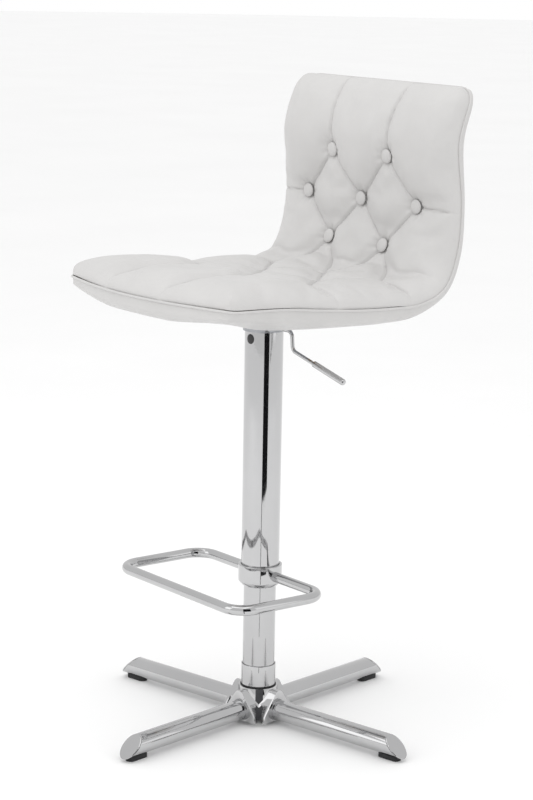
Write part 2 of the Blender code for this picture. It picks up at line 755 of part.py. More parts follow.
def make_footrest():
    loop = pipe("footrest_loop", footrest_path(), FOOTREST_R, CHROME, resolution=4)
    reach = 2 * FOOTREST_R
    collar_clear = disc("collar_clear", COLLAR_R + GAP, FOOTREST_Z - reach, FOOTREST_Z + reach)
    combine(loop, collar_clear)


# Mechanism under the seat.


def rounded_rectangle(half_x, half_y, corner):
    points = []
    for quarter, (sx, sy) in enumerate(((1, 1), (-1, 1), (-1, -1), (1, -1))):
        centre = (sx * (half_x - corner), sy * (half_y - corner))
        start = quarter * math.pi / 2
        points += arc(centre, corner, start, start + math.pi / 2, 4)
    return points


def bolt_places():
    for x in (-1, 1):
        for y in (-1, 1):
            yield x * PLATE_BOLT_PITCH_X / 2, y * PLATE_BOLT_PITCH_Y / 2


def make_mount_plate():
    """The plate under the plywood with the lever's housing, which stands on the cover tube."""
    outline = rounded_rectangle(PLATE_LENGTH / 2, PLATE_DEPTH / 2, PLATE_CORNER_R)
    plate = prism("mount_plate", outline, PLATE, STEEL)
    plate.data.transform(Matrix.Translation((0, 0, PLATE_BOTTOM + PLATE / 2)))
    overlap = PLATE / 2
    flange_top = HOUSING_BOTTOM + HOUSING_FLANGE
    profile = (
        (HOUSING_R, PLATE_BOTTOM + overlap),
        (HOUSING_R, HOUSING_BOTTOM),
        (HOUSING_MOUTH_R, HOUSING_BOTTOM),
        (HOUSING_MOUTH_R, flange_top),
        (HOUSING_R - HOUSING_WALL, flange_top),
        (HOUSING_R - HOUSING_WALL, PLATE_BOTTOM + overlap),
    )
    combine(plate, turned("housing", profile), "UNION")
    lug_end = LEVER_PIVOT + LUG_PAST_PIN
    for side in (-1, 1):
        faces = sorted((side * LUG_GAP / 2, side * (LUG_GAP / 2 + LUG)))
        low = (LEVER_PIVOT - LUG_LENGTH, faces[0], LEVER_Z - LUG_DROP)
        high = (lug_end, faces[1], PLATE_BOTTOM + overlap / 2)
        combine(plate, block(f"lug_{side}", low, high), "UNION")
    slot = block(
        "lever_slot",
        (LEVER_PIVOT - LUG_LENGTH - LUG_PAST_PIN, -LUG_GAP / 2, flange_top - SLOT_BITE),
        (HOUSING_R + CUT, LUG_GAP / 2, PLATE_BOTTOM + SLOT_BITE),
    )
    combine(plate, slot)
    window_z = PLATE_BOTTOM - WINDOW_DROP
    for turn in (60, 120, 180, 240, 300):
        low = (HOUSING_R - 2 * HOUSING_WALL, -WINDOW_WIDTH / 2, window_z - WINDOW_HEIGHT / 2)
        high = (HOUSING_R + CUT, WINDOW_WIDTH / 2, window_z + WINDOW_HEIGHT / 2)
        window = block(f"window_{turn}", low, high)
        window.rotation_euler.z = math.radians(turn)
        combine(plate, window)
    pivot = Vector((LEVER_PIVOT, 0, LEVER_Z))
    across = Vector((0, HOUSING_R, 0))
    combine(plate, rod("pivot_hole", PIN_R + GAP, pivot - across, pivot + across, segments=16))
    for x, y in bolt_places():
        low = (x, y, PLATE_BOTTOM - CUT)
        high = (x, y, PLATE_TOP + CUT)
        combine(plate, rod("plate_bolt_hole", PLATE_BOLT_R + GAP, low, high, segments=16))


def make_plate_bolts():
    head_top = PLATE_BOTTOM - GAP
    for index, (x, y) in enumerate(bolt_places(), 1):
        profile = (
            (0, head_top + PLATE_BOLT_LENGTH),
            (PLATE_BOLT_R, head_top + PLATE_BOLT_LENGTH),
            (PLATE_BOLT_R, head_top),
            (PLATE_BOLT_HEAD_R, head_top),
            (PLATE_BOLT_HEAD_R, head_top - PLATE_BOLT_HEAD),
            (0, head_top - PLATE_BOLT_HEAD),
        )
        bolt = turned(f"plate_bolt_{index}", profile, STEEL, 16, ring=False)
        bolt.location = (x, y, 0)


def lever_path():
    """The lever's axis in the plane y = 0, bends rounded, as (x, z) from its inner end."""
    reach = Vector((math.cos(LEVER_SLOPE), -math.sin(LEVER_SLOPE)))
    corner = Vector((LEVER_ELBOW, LEVER_Z))
    foot = Vector((LEVER_ELBOW + LEVER_LEAN, LEVER_Z - LEVER_FALL))
    tip = foot + reach * (LEVER_ARM + GRIP_LENGTH - GRIP_BLIND - LEVER_TIP_GAP)
    path = [Vector((LEVER_INNER_END, LEVER_Z)), corner, foot, tip]
    rounded = [path[0]]
    for before, here, after in zip(path, path[1:], path[2:]):
        into = (here - before).normalized()
        away = (after - here).normalized()
        turn = into.angle(away)
        setback = LEVER_BEND_R * math.tan(turn / 2)
        first = here - into * setback
        last = here + away * setback
        for step in range(5):
            share = step / 4
            rounded.append(first.lerp(here, share).lerp(here.lerp(last, share), share))
    rounded.append(tip)
    return [(p.x, 0, p.y) for p in rounded], foot, reach


def make_lever():
    points, foot, reach = lever_path()
    arm = pipe("lever_arm", points, LEVER_R, CHROME)
    pivot = Vector((LEVER_PIVOT, 0, LEVER_Z))
    across = Vector((0, PIN_HALF_LENGTH, 0))
    combine(arm, rod("arm_hole", PIN_R + GAP, pivot - across, pivot + across, segments=16))
    rod("lever_pivot_pin", PIN_R, pivot - across, pivot + across, STEEL, 16)
    start = foot + reach * LEVER_ARM
    axis = Vector((reach.x, 0, reach.y))
    length = GRIP_LENGTH
    profile = (
        (0, length),
        (GRIP_R * 0.3, length - GRIP_R * 0.08),
        (GRIP_R * 0.8, length - GRIP_R * 0.32),
        (GRIP_R, length - GRIP_R * 0.7),
        (GRIP_R, GRIP_EDGE),
        (GRIP_R - GRIP_EDGE, 0),
        (0, 0),
    )
    grip = turned("lever_grip", profile, CHROME, 20, ring=False)
    bore = disc("grip_bore", LEVER_R + GAP, -CUT, length - GRIP_BLIND, steps=20)
    combine(grip, bore)
    turn = Vector((0, 0, 1)).rotation_difference(axis).to_matrix().to_4x4()
    settle(grip)
    grip.matrix_world = Matrix.Translation((start.x, 0, start.y)) @ turn


# Seat: layers that share one curved grid.


def spline_point(points, at):
    """A smooth curve through the points, at 0 for the first and len - 1 for the last."""
    index = min(int(at), len(points) - 2)
    share = at - index
    before = Vector(points[max(index - 1, 0)])
    first = Vector(points[index])
    second = Vector(points[index + 1])
    after = Vector(points[min(index + 2, len(points) - 1)])
    straight = second - first
    leave = (second - before) / 2 if index else straight
    arrive = (after - first) / 2 if index + 2 < len(points) else straight
    a = 2 * share**3 - 3 * share**2 + 1
    b = share**3 - 2 * share**2 + share
    c = -2 * share**3 + 3 * share**2
    d = share**3 - share**2
    return first * a + leave * b + second * c + arrive * d


def seam_normal(at):
    """Unit normal of the seam line, up on the seat and forwards on the back."""
    ahead = spline_point(SEAM_LINE, min(at + 0.02, len(SEAM_LINE) - 1))
    behind = spline_point(SEAM_LINE, max(at - 0.02, 0))
    along = (ahead - behind).normalized()
    return Vector((-along.y, along.x))


def seam_table():
    """(distance along the seam, spline position) at close steps."""
    steps = 40 * (len(SEAM_LINE) - 1)
    table = [(0.0, 0.0)]
    last = spline_point(SEAM_LINE, 0)
    for step in range(1, steps + 1):
        at = step * (len(SEAM_LINE) - 1) / steps
        here = spline_point(SEAM_LINE, at)
        table.append((table[-1][0] + (here - last).length, at))
        last = here
    return table


def spline_at(table, distance):
    for (d0, a0), (d1, a1) in zip(table, table[1:]):
        if distance <= d1:
            return a0 + (a1 - a0) * (distance - d0) / (d1 - d0)
    return table[-1][1]


def spread(length, middle_steps):
    """Distances from one edge to the other, close together near both."""
    first = CUSHION_SHOULDER
    last = length - CUSHION_SHOULDER
    middle = [first + (last - first) * i / middle_steps for i in range(middle_steps + 1)]
    return [*EDGE_STEPS, *middle, *[length - step for step in reversed(EDGE_STEPS)]]


def shoulder(distance):
    """Cushion's height at a distance from the edge."""
    share = min(distance / CUSHION_SHOULDER, 1.0)
    rise = math.sqrt(1 - (1 - share) ** 2)
    return CUSHION_EDGE_HEIGHT + (CUSHION_HEIGHT - CUSHION_EDGE_HEIGHT) * rise


def pulled(distance, length, inset):
    """A distance across the seat, moved so that both edges shift inwards by the inset."""
    edge = min(distance, length - distance)
    if edge >= CUSHION_SHOULDER:
        return distance
    edge = inset + edge * (1 - inset / CUSHION_SHOULDER)
    return edge if distance < length / 2 else length - edge


def half_width(distance, length, inset=0.0):
    """Half of the seat's width within an inset edge, with round corners in its plan."""
    past_bend = 2 * distance / length - 1
    corner = FRONT_CORNER_R if past_bend < 0 else TOP_CORNER_R
    taper = FRONT_TAPER if past_bend < 0 else TOP_TAPER
    full = SEAT_HALF_WIDTH - taper * abs(past_bend)
    sink = corner - min(distance, length - distance)
    if sink <= 0:
        return full - inset
    return full - corner + math.sqrt(max((corner - inset) ** 2 - sink**2, 0))


def depth_share(across):
    """Shell's depth at a distance from the middle plane, against its depth in the middle."""
    side = max(abs(across) - FLAT_HALF_WIDTH, 0) / (SEAT_HALF_WIDTH - FLAT_HALF_WIDTH)
    return 1 - (1 - SEAT_EDGE_SHARE) * side**SEAT_SIDE_CURVE


class SeatGrid:
    """Rows along the seat's profile and columns across it, with the layers' places at each."""

    def __init__(self):
        self.table = seam_table()
        self.length = self.table[-1][0]
        self.rows = spread(self.length, 14)
        self.columns = spread(2 * SEAT_HALF_WIDTH, 4)

    def frame(self, distance):
        """Seam point, way to the shell's outer face, and normal, in the plane of the profile."""
        at = spline_at(self.table, distance)
        here = spline_point(SEAM_LINE, at)
        shell = spline_point(SHELL_LINE, at)
        return here, shell - here, seam_normal(at)

    def point(self, column, row, level, inset=0.0):
        """A point of the grid on a level, which picks a place from (seam, low, high, normal)."""
        distance = pulled(self.rows[row], self.length, inset)
        seam, depth, normal = self.frame(distance)
        wide = half_width(distance, self.length)
        offset = self.columns[column] - SEAT_HALF_WIDTH
        edge = SEAT_HALF_WIDTH - abs(offset)
        if edge < CUSHION_SHOULDER:
            squeeze = 1 - inset / CUSHION_SHOULDER
            reach = half_width(distance, self.length, inset) - edge * squeeze
        else:
            middle = SEAT_HALF_WIDTH - CUSHION_SHOULDER
            reach = (wide - CUSHION_SHOULDER) * abs(offset) / middle
        across = math.copysign(reach, offset) if offset else 0.0
        rim = min(wide - reach, distance, self.length - distance)
        low = seam + depth * depth_share(reach)
        high = seam + normal * shoulder(max(rim, 0.0))
        place_at = level(seam, low, high, normal)
        fade = max(1 - self.rows[row] / BOW_LENGTH, 0.0) ** 2
        bow = FRONT_BOW * fade * (1 - (offset / SEAT_HALF_WIDTH) ** 2)
        return Vector((across, place_at.x - bow, place_at.y + UNDERSIDE))

    def solid(self, name, low_level, high_level, low_inset, high_inset, look=None):
        """A closed body between two levels of the grid."""
        columns = len(self.columns) - 1
        rows = len(self.rows) - 1
        bm = bmesh.new()
        bmesh.ops.create_grid(bm, x_segments=columns, y_segments=rows, size=1)
        lifted = bmesh.ops.extrude_face_region(bm, geom=bm.faces[:], use_keep_orig=True)
        upper = {v for v in lifted["geom"] if isinstance(v, bmesh.types.BMVert)}
        for vertex in bm.verts:
            column = round((vertex.co.x + 1) / 2 * columns)
            row = round((vertex.co.y + 1) / 2 * rows)
            if vertex in upper:
                vertex.co = self.point(column, row, high_level, high_inset)
            else:
                vertex.co = self.point(column, row, low_level, low_inset)
        return place(name, finish_mesh(name, bm), look)


def on_shell(lift):
    """Level that lies above the shell's outer face by the lift."""
    return lambda seam, low, high, normal: low + (seam - low).normalized() * lift


def on_seam(lift):
    return lambda seam, low, high, normal: seam + normal * lift


def under_top(drop):
    return lambda seam, low, high, normal: high - normal * drop


def make_seat():
    grid = SeatGrid()
    outer = grid.solid("outer_cover", on_shell(0), on_seam(0), SHELL_LEAN, 0, LEATHERETTE)
    pocket = grid.solid(
        "shell_pocket",
        on_shell(SHELL_SKIN),
        on_seam(CUT),
        SHELL_SKIN + SHELL_LEAN,
        SHELL_SKIN,
    )
    combine(outer, pocket)
    wood_low = SHELL_SKIN + LAYER_GAP
    wood_high = wood_low + PLYWOOD
    wood = grid.solid(
        "plywood_shell",
        on_shell(wood_low),
        on_shell(wood_high),
        PLYWOOD_INSET,
        PLYWOOD_INSET,
        WOOD,
    )
    foam = grid.solid(
        "seat_foam",
        on_shell(wood_high + LAYER_GAP),
        under_top(COVER_SKIN + COVER_SLACK),
        PLYWOOD_INSET,
        COVER_SKIN + COVER_SLACK,
        FOAM,
    )
    cover = grid.solid("cushion_cover", on_seam(GAP), under_top(0), 0, 0, LEATHERETTE)
    dome = grid.solid("cover_dome", on_seam(-2 * CUT), under_top(COVER_SKIN), COVER_SKIN, COVER_SKIN)
    combine(cover, dome)
    opening = prism(
        "cover_opening",
        rounded_rectangle(
            PLATE_LENGTH / 2 + OPENING_MARGIN,
            PLATE_DEPTH / 2 + OPENING_MARGIN,
            PLATE_CORNER_R + OPENING_MARGIN,
        ),
        4 * SHELL_SKIN,
    )
    opening.location.z = UNDERSIDE + SHELL_SKIN
    combine(outer, opening)
    for x, y in bolt_places():
        low = (x, y, UNDERSIDE - CUT)
        high = (x, y, UNDERSIDE + 2 * PLYWOOD)
        combine(wood, rod("seat_bolt_hole", PLATE_BOLT_R + GAP, low, high, segments=16))
    make_tuft_buttons(grid, foam, cover)
    make_piping(grid)


def tuft_places(grid):
    """(x, seam point, normal) of each button, from its row's height on the back."""
    for rise, count in TUFT_ROWS:
        for distance, at in grid.table:
            here = spline_point(SEAM_LINE, at)
            if here.y >= rise and here.x > 0:
                break
        normal = seam_normal(at)
        for index in range(count):
            x = (2 * index - count + 1) * TUFT_SIDE
            yield x, here, normal


def make_tuft_buttons(grid, foam, cover):
    for index, (x, seam, normal) in enumerate(tuft_places(grid), 1):
        out = Vector((0, normal.x, normal.y))
        base = Vector((x, seam.x, seam.y + UNDERSIDE)) + out * (CUSHION_HEIGHT - TUFT_DEPTH)
        height = TUFT_BUTTON_HEIGHT
        profile = (
            (0, height),
            (TUFT_BUTTON_R * 0.55, height * 0.88),
            (TUFT_BUTTON_R * 0.9, height * 0.5),
            (TUFT_BUTTON_R, 0.001),
            (TUFT_BUTTON_R * 0.9, 0),
            (0, 0),
        )
        button = turned(f"tuft_button_{index}", profile, LEATHERETTE, 16, ring=False)
        turn = Vector((0, 0, 1)).rotation_difference(out).to_matrix().to_4x4()
        button.matrix_world = Matrix.Translation(base) @ turn
        pocket_r = TUFT_BUTTON_R + LAYER_GAP
        outside = base + out * CUSHION_HEIGHT
        pocket = rod(f"tuft_pocket_{index}", pocket_r, base - out * LAYER_GAP, outside, segments=16)
        combine(foam, pocket)
        combine(cover, pocket)


def make_piping(grid):
    """The welt that stands out along the seam between the two covers."""
    last_column = len(grid.columns) - 1
    last_row = len(grid.rows) - 1
    ring = [(c, 0) for c in range(last_column)]
    ring += [(last_column, r) for r in range(last_row)]
    ring += [(c, last_row) for c in range(last_column, 0, -1)]
    ring += [(0, r) for r in range(last_row, 0, -1)]
    level = on_seam(0)
    places = [grid.point(c, r, level) for c, r in ring]
    points = []
    count = len(places)
    for index, here in enumerate(places):
        along = (places[(index + 1) % count] - places[index - 1]).normalized()
        flat = grid.frame(grid.rows[ring[index][1]])[2]
        normal = Vector((0, flat.x, flat.y))
        outward = along.cross(normal).normalized()
        points.append(here + outward * (PIPING_R + LAYER_GAP))
    pipe("seat_piping", points, PIPING_R, LEATHERETTE, cyclic=True, resolution=2)


def main():
    make_hub()
    make_legs()
    make_pads()
    make_leg_bolts()
    make_fixed_column()
    make_bearing()
    make_rod()
    make_cylinder()
    make_cover()
    make_collar()
    make_footrest()
    make_mount_plate()
    make_plate_bolts()
    make_lever()
    make_seat()


clear_scene()
PARTS = new_collection("swivel_stool")
CUTTERS = new_collection("cutters", hidden=True)
main()
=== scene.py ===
"""Adjustable swivel stool: chrome four-leg base, telescopic column with a footrest loop, release
lever and a tufted leatherette bucket seat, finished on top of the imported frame."""

import json
import math

import bmesh
import bpy
import numpy as np
from mathutils import Matrix, Vector


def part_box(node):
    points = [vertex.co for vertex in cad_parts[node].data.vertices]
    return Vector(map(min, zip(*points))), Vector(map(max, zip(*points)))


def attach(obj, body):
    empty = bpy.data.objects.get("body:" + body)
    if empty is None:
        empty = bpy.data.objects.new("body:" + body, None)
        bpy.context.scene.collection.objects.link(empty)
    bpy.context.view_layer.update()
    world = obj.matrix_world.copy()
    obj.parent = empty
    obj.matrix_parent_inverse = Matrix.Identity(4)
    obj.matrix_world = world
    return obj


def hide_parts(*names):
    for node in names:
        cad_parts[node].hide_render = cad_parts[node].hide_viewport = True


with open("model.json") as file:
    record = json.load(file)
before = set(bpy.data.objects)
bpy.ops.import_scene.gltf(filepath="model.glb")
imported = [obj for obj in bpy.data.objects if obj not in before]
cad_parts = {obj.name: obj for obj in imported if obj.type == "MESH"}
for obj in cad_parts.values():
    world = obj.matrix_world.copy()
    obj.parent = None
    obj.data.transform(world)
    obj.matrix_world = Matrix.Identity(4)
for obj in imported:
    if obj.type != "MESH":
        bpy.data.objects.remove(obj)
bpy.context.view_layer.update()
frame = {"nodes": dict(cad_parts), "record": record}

bl_info = {
    "name": "Swivel Stool",
    "version": (1, 0, 0),
    "blender": (4, 5, 0),
    "location": "View3D > Sidebar > Stool",
    "description": "Builds the visible pieces of an adjustable swivel stool",
    "category": "Object",
}

GAP = 0.0003
UNDERSIDE = 0.640  # height of the shell's flat underside
SEAM_LINE = (
    (-0.222, 0.0610),
    (-0.131, 0.0580),
    (-0.062, 0.0515),
    (0.009, 0.0455),
    (0.073, 0.0430),
    (0.131, 0.0445),
    (0.181, 0.066),
    (0.206, 0.121),
    (0.213, 0.190),
    (0.206, 0.277),
    (0.222, 0.330),
    (0.238, 0.362),
)
SHELL_LINE = (
    (-0.229, 0.034),
    (-0.130, 0.0175),
    (-0.064, 0.0020),
    (0.009, 0.000),
    (0.074, 0.000),
    (0.137, 0.008),
    (0.203, 0.046),
    (0.233, 0.108),
    (0.236, 0.192),
    (0.238, 0.277),
    (0.248, 0.320),
    (0.266, 0.366),
)
SEAT_HALF_WIDTH = 0.215
FRONT_TAPER = 0.004
TOP_TAPER = 0.012
FRONT_CORNER_R = 0.016
TOP_CORNER_R = 0.032
FRONT_BOW = 0.030
BOW_LENGTH = 0.150
FLAT_HALF_WIDTH = 0.072
SEAT_EDGE_SHARE = 0.50
SEAT_SIDE_CURVE = 1.15
CUSHION_SHOULDER = 0.055
CUSHION_EDGE_HEIGHT = 0.0008


# Sizes and finishes a user may change.


def length(name, description, default, high=0.1):
    return bpy.props.FloatProperty(
        name=name,
        description=description,
        default=default,
        min=0.0,
        max=high,
        subtype="DISTANCE",
        unit="LENGTH",
    )


def colour(name, description, default):
    return bpy.props.FloatVectorProperty(
        name=name, description=description, default=default, min=0.0, max=1.0, size=3, subtype="COLOR"
    )


class StoolSizes(bpy.types.PropertyGroup):
    cushion_height: length("Cushion height", "Crown of the cushion over its seam", 0.033)
    crease_depth: length("Crease depth", "How far the panels sink towards a crease", 0.0060)
    crease_width: length("Crease width", "From a crease to where the panel is full again", 0.034)
    fold_depth: length("Fold depth", "Depth of the tight fold along a crease", 0.0016)
    fold_width: length("Fold width", "Half width of the tight fold along a crease", 0.0034)
    button_sink: length("Button sink", "Depth of the dimple around a button", 0.0085)
    button_reach: length("Dimple reach", "Radius of the dimple around a button", 0.034)
    button_radius: length("Button radius", "Radius of a covered button", 0.0112)
    button_dome: length("Button dome", "Height of a covered button", 0.0036)
    puff_cap: length("Puff cap", "Furthest the fabric may move while it fills", 0.0065)
    panel_step: length("Panel grid", "Spacing of the cushion's grid", 0.0075)
    shell_edge: length("Shell edge radius", "Round of the shell's lower edge", 0.020)
    shell_skin: length("Shell thickness", "Thickness of the shell's cover", 0.0035)
    welt_radius: length("Welt radius", "Radius of the piping along the seam", 0.0019)
    metal_bevel: length("Metal bevel", "Softening of machined metal edges", 0.0005)
    lever_radius: length("Lever radius", "Radius of the lever's bar", 0.003)


class StoolFinishes(bpy.types.PropertyGroup):
    chrome: colour("Chrome", "Tint of the chrome plate", (0.56, 0.56, 0.565))
    leatherette: colour("Leatherette", "Colour of the seat's cover", (0.60, 0.592, 0.585))
    rubber: colour("Rubber", "Colour of the pads and the gasket", (0.018, 0.018, 0.019))
    steel: colour("Steel", "Colour of plain steel parts", (0.42, 0.43, 0.45))
    dark_steel: colour("Dark steel", "Colour of painted steel parts", (0.05, 0.05, 0.055))
    nylon: colour("Nylon", "Colour of the guide bushes", (0.66, 0.65, 0.60))
    plastic: colour("Plastic", "Colour of the plug in the column", (0.022, 0.022, 0.023))
    wood: colour("Plywood", "Colour of the moulded shell", (0.50, 0.33, 0.17))
    foam: colour("Foam", "Colour of the cushion's filling", (0.76, 0.66, 0.38))
    floor: colour("Floor", "Colour of the floor", (0.96, 0.96, 0.96))


# Finishes: procedural, on object coordinates.


class Finish:
    """A material with one shader, and helpers that add its nodes."""

    def __init__(self, name):
        self.material = bpy.data.materials.new(name)
        self.material.use_nodes = True
        self.nodes = self.material.node_tree.nodes
        self.links = self.material.node_tree.links
        self.shader = self.nodes["Principled BSDF"]
        self.where = self.nodes.new("ShaderNodeTexCoord").outputs["Object"]

    def stretched(self, scale):
        node = self.nodes.new("ShaderNodeMapping")
        node.inputs["Scale"].default_value = scale
        self.links.new(self.where, node.inputs["Vector"])
        return node.outputs["Vector"]

    def noise(self, scale, detail=3.0, rough=0.55, vector=None):
        node = self.nodes.new("ShaderNodeTexNoise")
        node.inputs["Scale"].default_value = scale
        node.inputs["Detail"].default_value = detail
        node.inputs["Roughness"].default_value = rough
        self.links.new(vector or self.where, node.inputs["Vector"])
        return node.outputs["Fac"]

    def cells(self, scale, feature="F1"):
        node = self.nodes.new("ShaderNodeTexVoronoi")
        node.feature = feature
        node.inputs["Scale"].default_value = scale
        self.links.new(self.where, node.inputs["Vector"])
        return node.outputs["Distance"]

    def spread(self, value, low, high, start=0.3, end=0.7):
        node = self.nodes.new("ShaderNodeMapRange")
        node.inputs["From Min"].default_value = start
        node.inputs["From Max"].default_value = end
        node.inputs["To Min"].default_value = low
        node.inputs["To Max"].default_value = high
        self.links.new(value, node.inputs["Value"])
        return node.outputs["Result"]

    def tint(self, value, first, second, start=0.3, end=0.7):
        ramp = self.nodes.new("ShaderNodeValToRGB")
        ramp.color_ramp.elements[0].position = start
        ramp.color_ramp.elements[1].position = end
        ramp.color_ramp.elements[0].color = (*first, 1.0)
        ramp.color_ramp.elements[1].color = (*second, 1.0)
        self.links.new(value, ramp.inputs["Fac"])
        self.links.new(ramp.outputs["Color"], self.shader.inputs["Base Color"])

    def rough(self, value, low, high, start=0.3, end=0.7):
        self.links.new(self.spread(value, low, high, start, end), self.shader.inputs["Roughness"])

    def total(self, first, second, share):
        node = self.nodes.new("ShaderNodeMath")
        node.operation = "MULTIPLY_ADD"
        node.inputs[1].default_value = share
        self.links.new(second, node.inputs[0])
        self.links.new(first, node.inputs[2])
        return node.outputs["Value"]

    def relief(self, value, distance, strength=1.0):
        bump = self.nodes.new("ShaderNodeBump")
        bump.inputs["Strength"].default_value = strength
        bump.inputs["Distance"].default_value = distance
        self.links.new(value, bump.inputs["Height"])
        self.links.new(bump.outputs["Normal"], self.shader.inputs["Normal"])


def scaled(tone, share):
    return tuple(min(channel * share, 1.0) for channel in tone)


def chrome_finish(tone):
    """Mirror chrome plate: faint cloudiness, polishing haze and slight waviness."""
    finish = Finish("chrome_plate")
    finish.shader.inputs["Metallic"].default_value = 1.0
    finish.tint(finish.noise(9.0, 4.0), scaled(tone, 0.97), scaled(tone, 1.03))
    finish.rough(finish.noise(160.0, 6.0, 0.65), 0.035, 0.085)
    finish.relief(finish.noise(55.0, 2.0), 0.00012, 0.25)
    return finish.material


def leatherette_finish(tone):
    """Fine pebbled grain with tiny pores, and soft changes of tone and gloss."""
    finish = Finish("pale_leatherette")
    finish.shader.inputs["Specular IOR Level"].default_value = 0.42
    finish.shader.inputs["Sheen Weight"].default_value = 0.05
    finish.shader.inputs["Sheen Roughness"].default_value = 0.4
    finish.tint(finish.noise(14.0, 5.0, 0.6), scaled(tone, 0.965), scaled(tone, 1.02))
    finish.rough(finish.noise(38.0, 4.0), 0.40, 0.54)
    pebbles = finish.cells(780.0, "DISTANCE_TO_EDGE")
    pores = finish.noise(1500.0, 3.0, 0.6)
    finish.relief(finish.total(pebbles, pores, 0.35), 0.00035, 0.45)
    return finish.material


def rubber_finish(tone):
    finish = Finish("black_rubber")
    finish.tint(finish.noise(60.0, 4.0), scaled(tone, 0.8), scaled(tone, 1.5))
    finish.rough(finish.noise(220.0, 3.0), 0.62, 0.82)
    finish.relief(finish.noise(900.0, 3.0), 0.0001, 0.5)
    return finish.material


def steel_finish(tone):
    """Zinc-plated steel with brushed streaks and a mottled bloom."""
    finish = Finish("zinc_steel")
    finish.shader.inputs["Metallic"].default_value = 1.0
    finish.tint(finish.noise(30.0, 5.0), scaled(tone, 0.85), scaled(tone, 1.12))
    streaks = finish.noise(120.0, 3.0, 0.6, finish.stretched((1.0, 12.0, 12.0)))
    finish.rough(streaks, 0.26, 0.42)
    finish.relief(streaks, 0.00008, 0.4)
    return finish.material


def dark_steel_finish(tone):
    finish = Finish("satin_black_steel")
    finish.shader.inputs["Metallic"].default_value = 0.3
    finish.tint(finish.noise(40.0, 4.0), scaled(tone, 0.85), scaled(tone, 1.3))
    finish.rough(finish.noise(300.0, 4.0), 0.36, 0.5)
    finish.relief(finish.noise(700.0, 3.0), 0.00008, 0.5)
    return finish.material


def nylon_finish(tone):
    finish = Finish("natural_nylon")
    finish.shader.inputs["Subsurface Weight"].default_value = 0.15
    finish.shader.inputs["Subsurface Scale"].default_value = 0.002
    finish.tint(finish.noise(25.0, 3.0), scaled(tone, 0.95), scaled(tone, 1.04))
    finish.rough(finish.noise(150.0, 3.0), 0.4, 0.52)
    finish.relief(finish.noise(500.0, 2.0), 0.00006, 0.4)
    return finish.material


def plastic_finish(tone):
    finish = Finish("black_plastic")
    finish.tint(finish.noise(50.0, 3.0), scaled(tone, 0.85), scaled(tone, 1.25))
    finish.rough(finish.noise(260.0, 3.0), 0.28, 0.4)
    finish.relief(finish.noise(800.0, 2.0), 0.00006, 0.4)
    return finish.material


def wood_finish(tone):
    """Rotary-cut birch face with long grain."""
    finish = Finish("moulded_plywood")
    grain = finish.noise(42.0, 6.0, 0.65, finish.stretched((0.12, 1.0, 1.0)))
    finish.tint(grain, scaled(tone, 0.72), scaled(tone, 1.12))
    finish.rough(grain, 0.5, 0.66)
    finish.relief(grain, 0.0002, 0.5)
    return finish.material


def foam_finish(tone):
    finish = Finish("open_foam")
    finish.tint(finish.noise(30.0, 4.0), scaled(tone, 0.9), scaled(tone, 1.05))
    finish.rough(finish.noise(80.0, 3.0), 0.85, 0.98)
    finish.relief(finish.cells(650.0), 0.0006, 0.8)
    return finish.material


def floor_finish(tone):
    finish = Finish("pale_floor")
    finish.tint(finish.noise(1.5, 3.0), scaled(tone, 0.99), scaled(tone, 1.01))
    finish.rough(finish.noise(4.0, 3.0), 0.75, 0.85)
    return finish.material


MAKERS = {
    "chrome": chrome_finish,
    "leatherette": leatherette_finish,
    "rubber": rubber_finish,
    "steel": steel_finish,
    "dark_steel": dark_steel_finish,
    "nylon": nylon_finish,
    "plastic": plastic_finish,
    "wood": wood_finish,
    "foam": foam_finish,
    "floor": floor_finish,
}
MADE = {}


def finish_of(name):
    """The finish of that name, made from its colour the first time it is asked for."""
    if name not in MADE:
        MADE[name] = MAKERS[name](tuple(getattr(bpy.context.scene.stool_finishes, name)))
    return MADE[name]


def sizes():
    return bpy.context.scene.stool_sizes


# Mesh helpers.


def solid_mesh(name, verts, faces):
    """A closed mesh with its doubles merged and its faces pointing out."""
    mesh = bpy.data.meshes.new(name)
    mesh.from_pydata([tuple(v) for v in verts], [], faces)
    bm = bmesh.new()
    bm.from_mesh(mesh)
    bmesh.ops.remove_doubles(bm, verts=bm.verts, dist=0.000005)
    outwards(bm)
    bm.to_mesh(mesh)
    bm.free()
    return mesh


def outwards(bm):
    bmesh.ops.recalc_face_normals(bm, faces=bm.faces)
    if bm.calc_volume(signed=True) < 0:
        bmesh.ops.reverse_faces(bm, faces=bm.faces)


def add_piece(name, mesh, finish, body, stands_for=(), sharp=35):
    obj = bpy.data.objects.new(name, mesh)
    bpy.context.scene.collection.objects.link(obj)
    mesh.name = name
    mesh.materials.clear()
    mesh.materials.append(finish_of(finish))
    mesh.shade_smooth()
    mesh.set_sharp_from_angle(angle=math.radians(sharp))
    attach(obj, body)
    if stands_for:
        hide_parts(*stands_for)
    return obj


def softened(points, radius, closed=True, steps=3):
    """An outline with its corners rounded."""
    count = len(points)
    result = []
    for index, here in enumerate(points):
        if not closed and index in (0, count - 1):
            result.append(tuple(here))
            continue
        here = Vector(here)
        before = Vector(points[index - 1])
        after = Vector(points[(index + 1) % count])
        into = (before - here).length
        away = (after - here).length
        setback = min(radius, 0.45 * into, 0.45 * away)
        first = here + (before - here) * (setback / into)
        last = here + (after - here) * (setback / away)
        for step in range(steps + 1):
            share = step / steps
            result.append(tuple(first.lerp(here, share).lerp(here.lerp(last, share), share)))
    return result


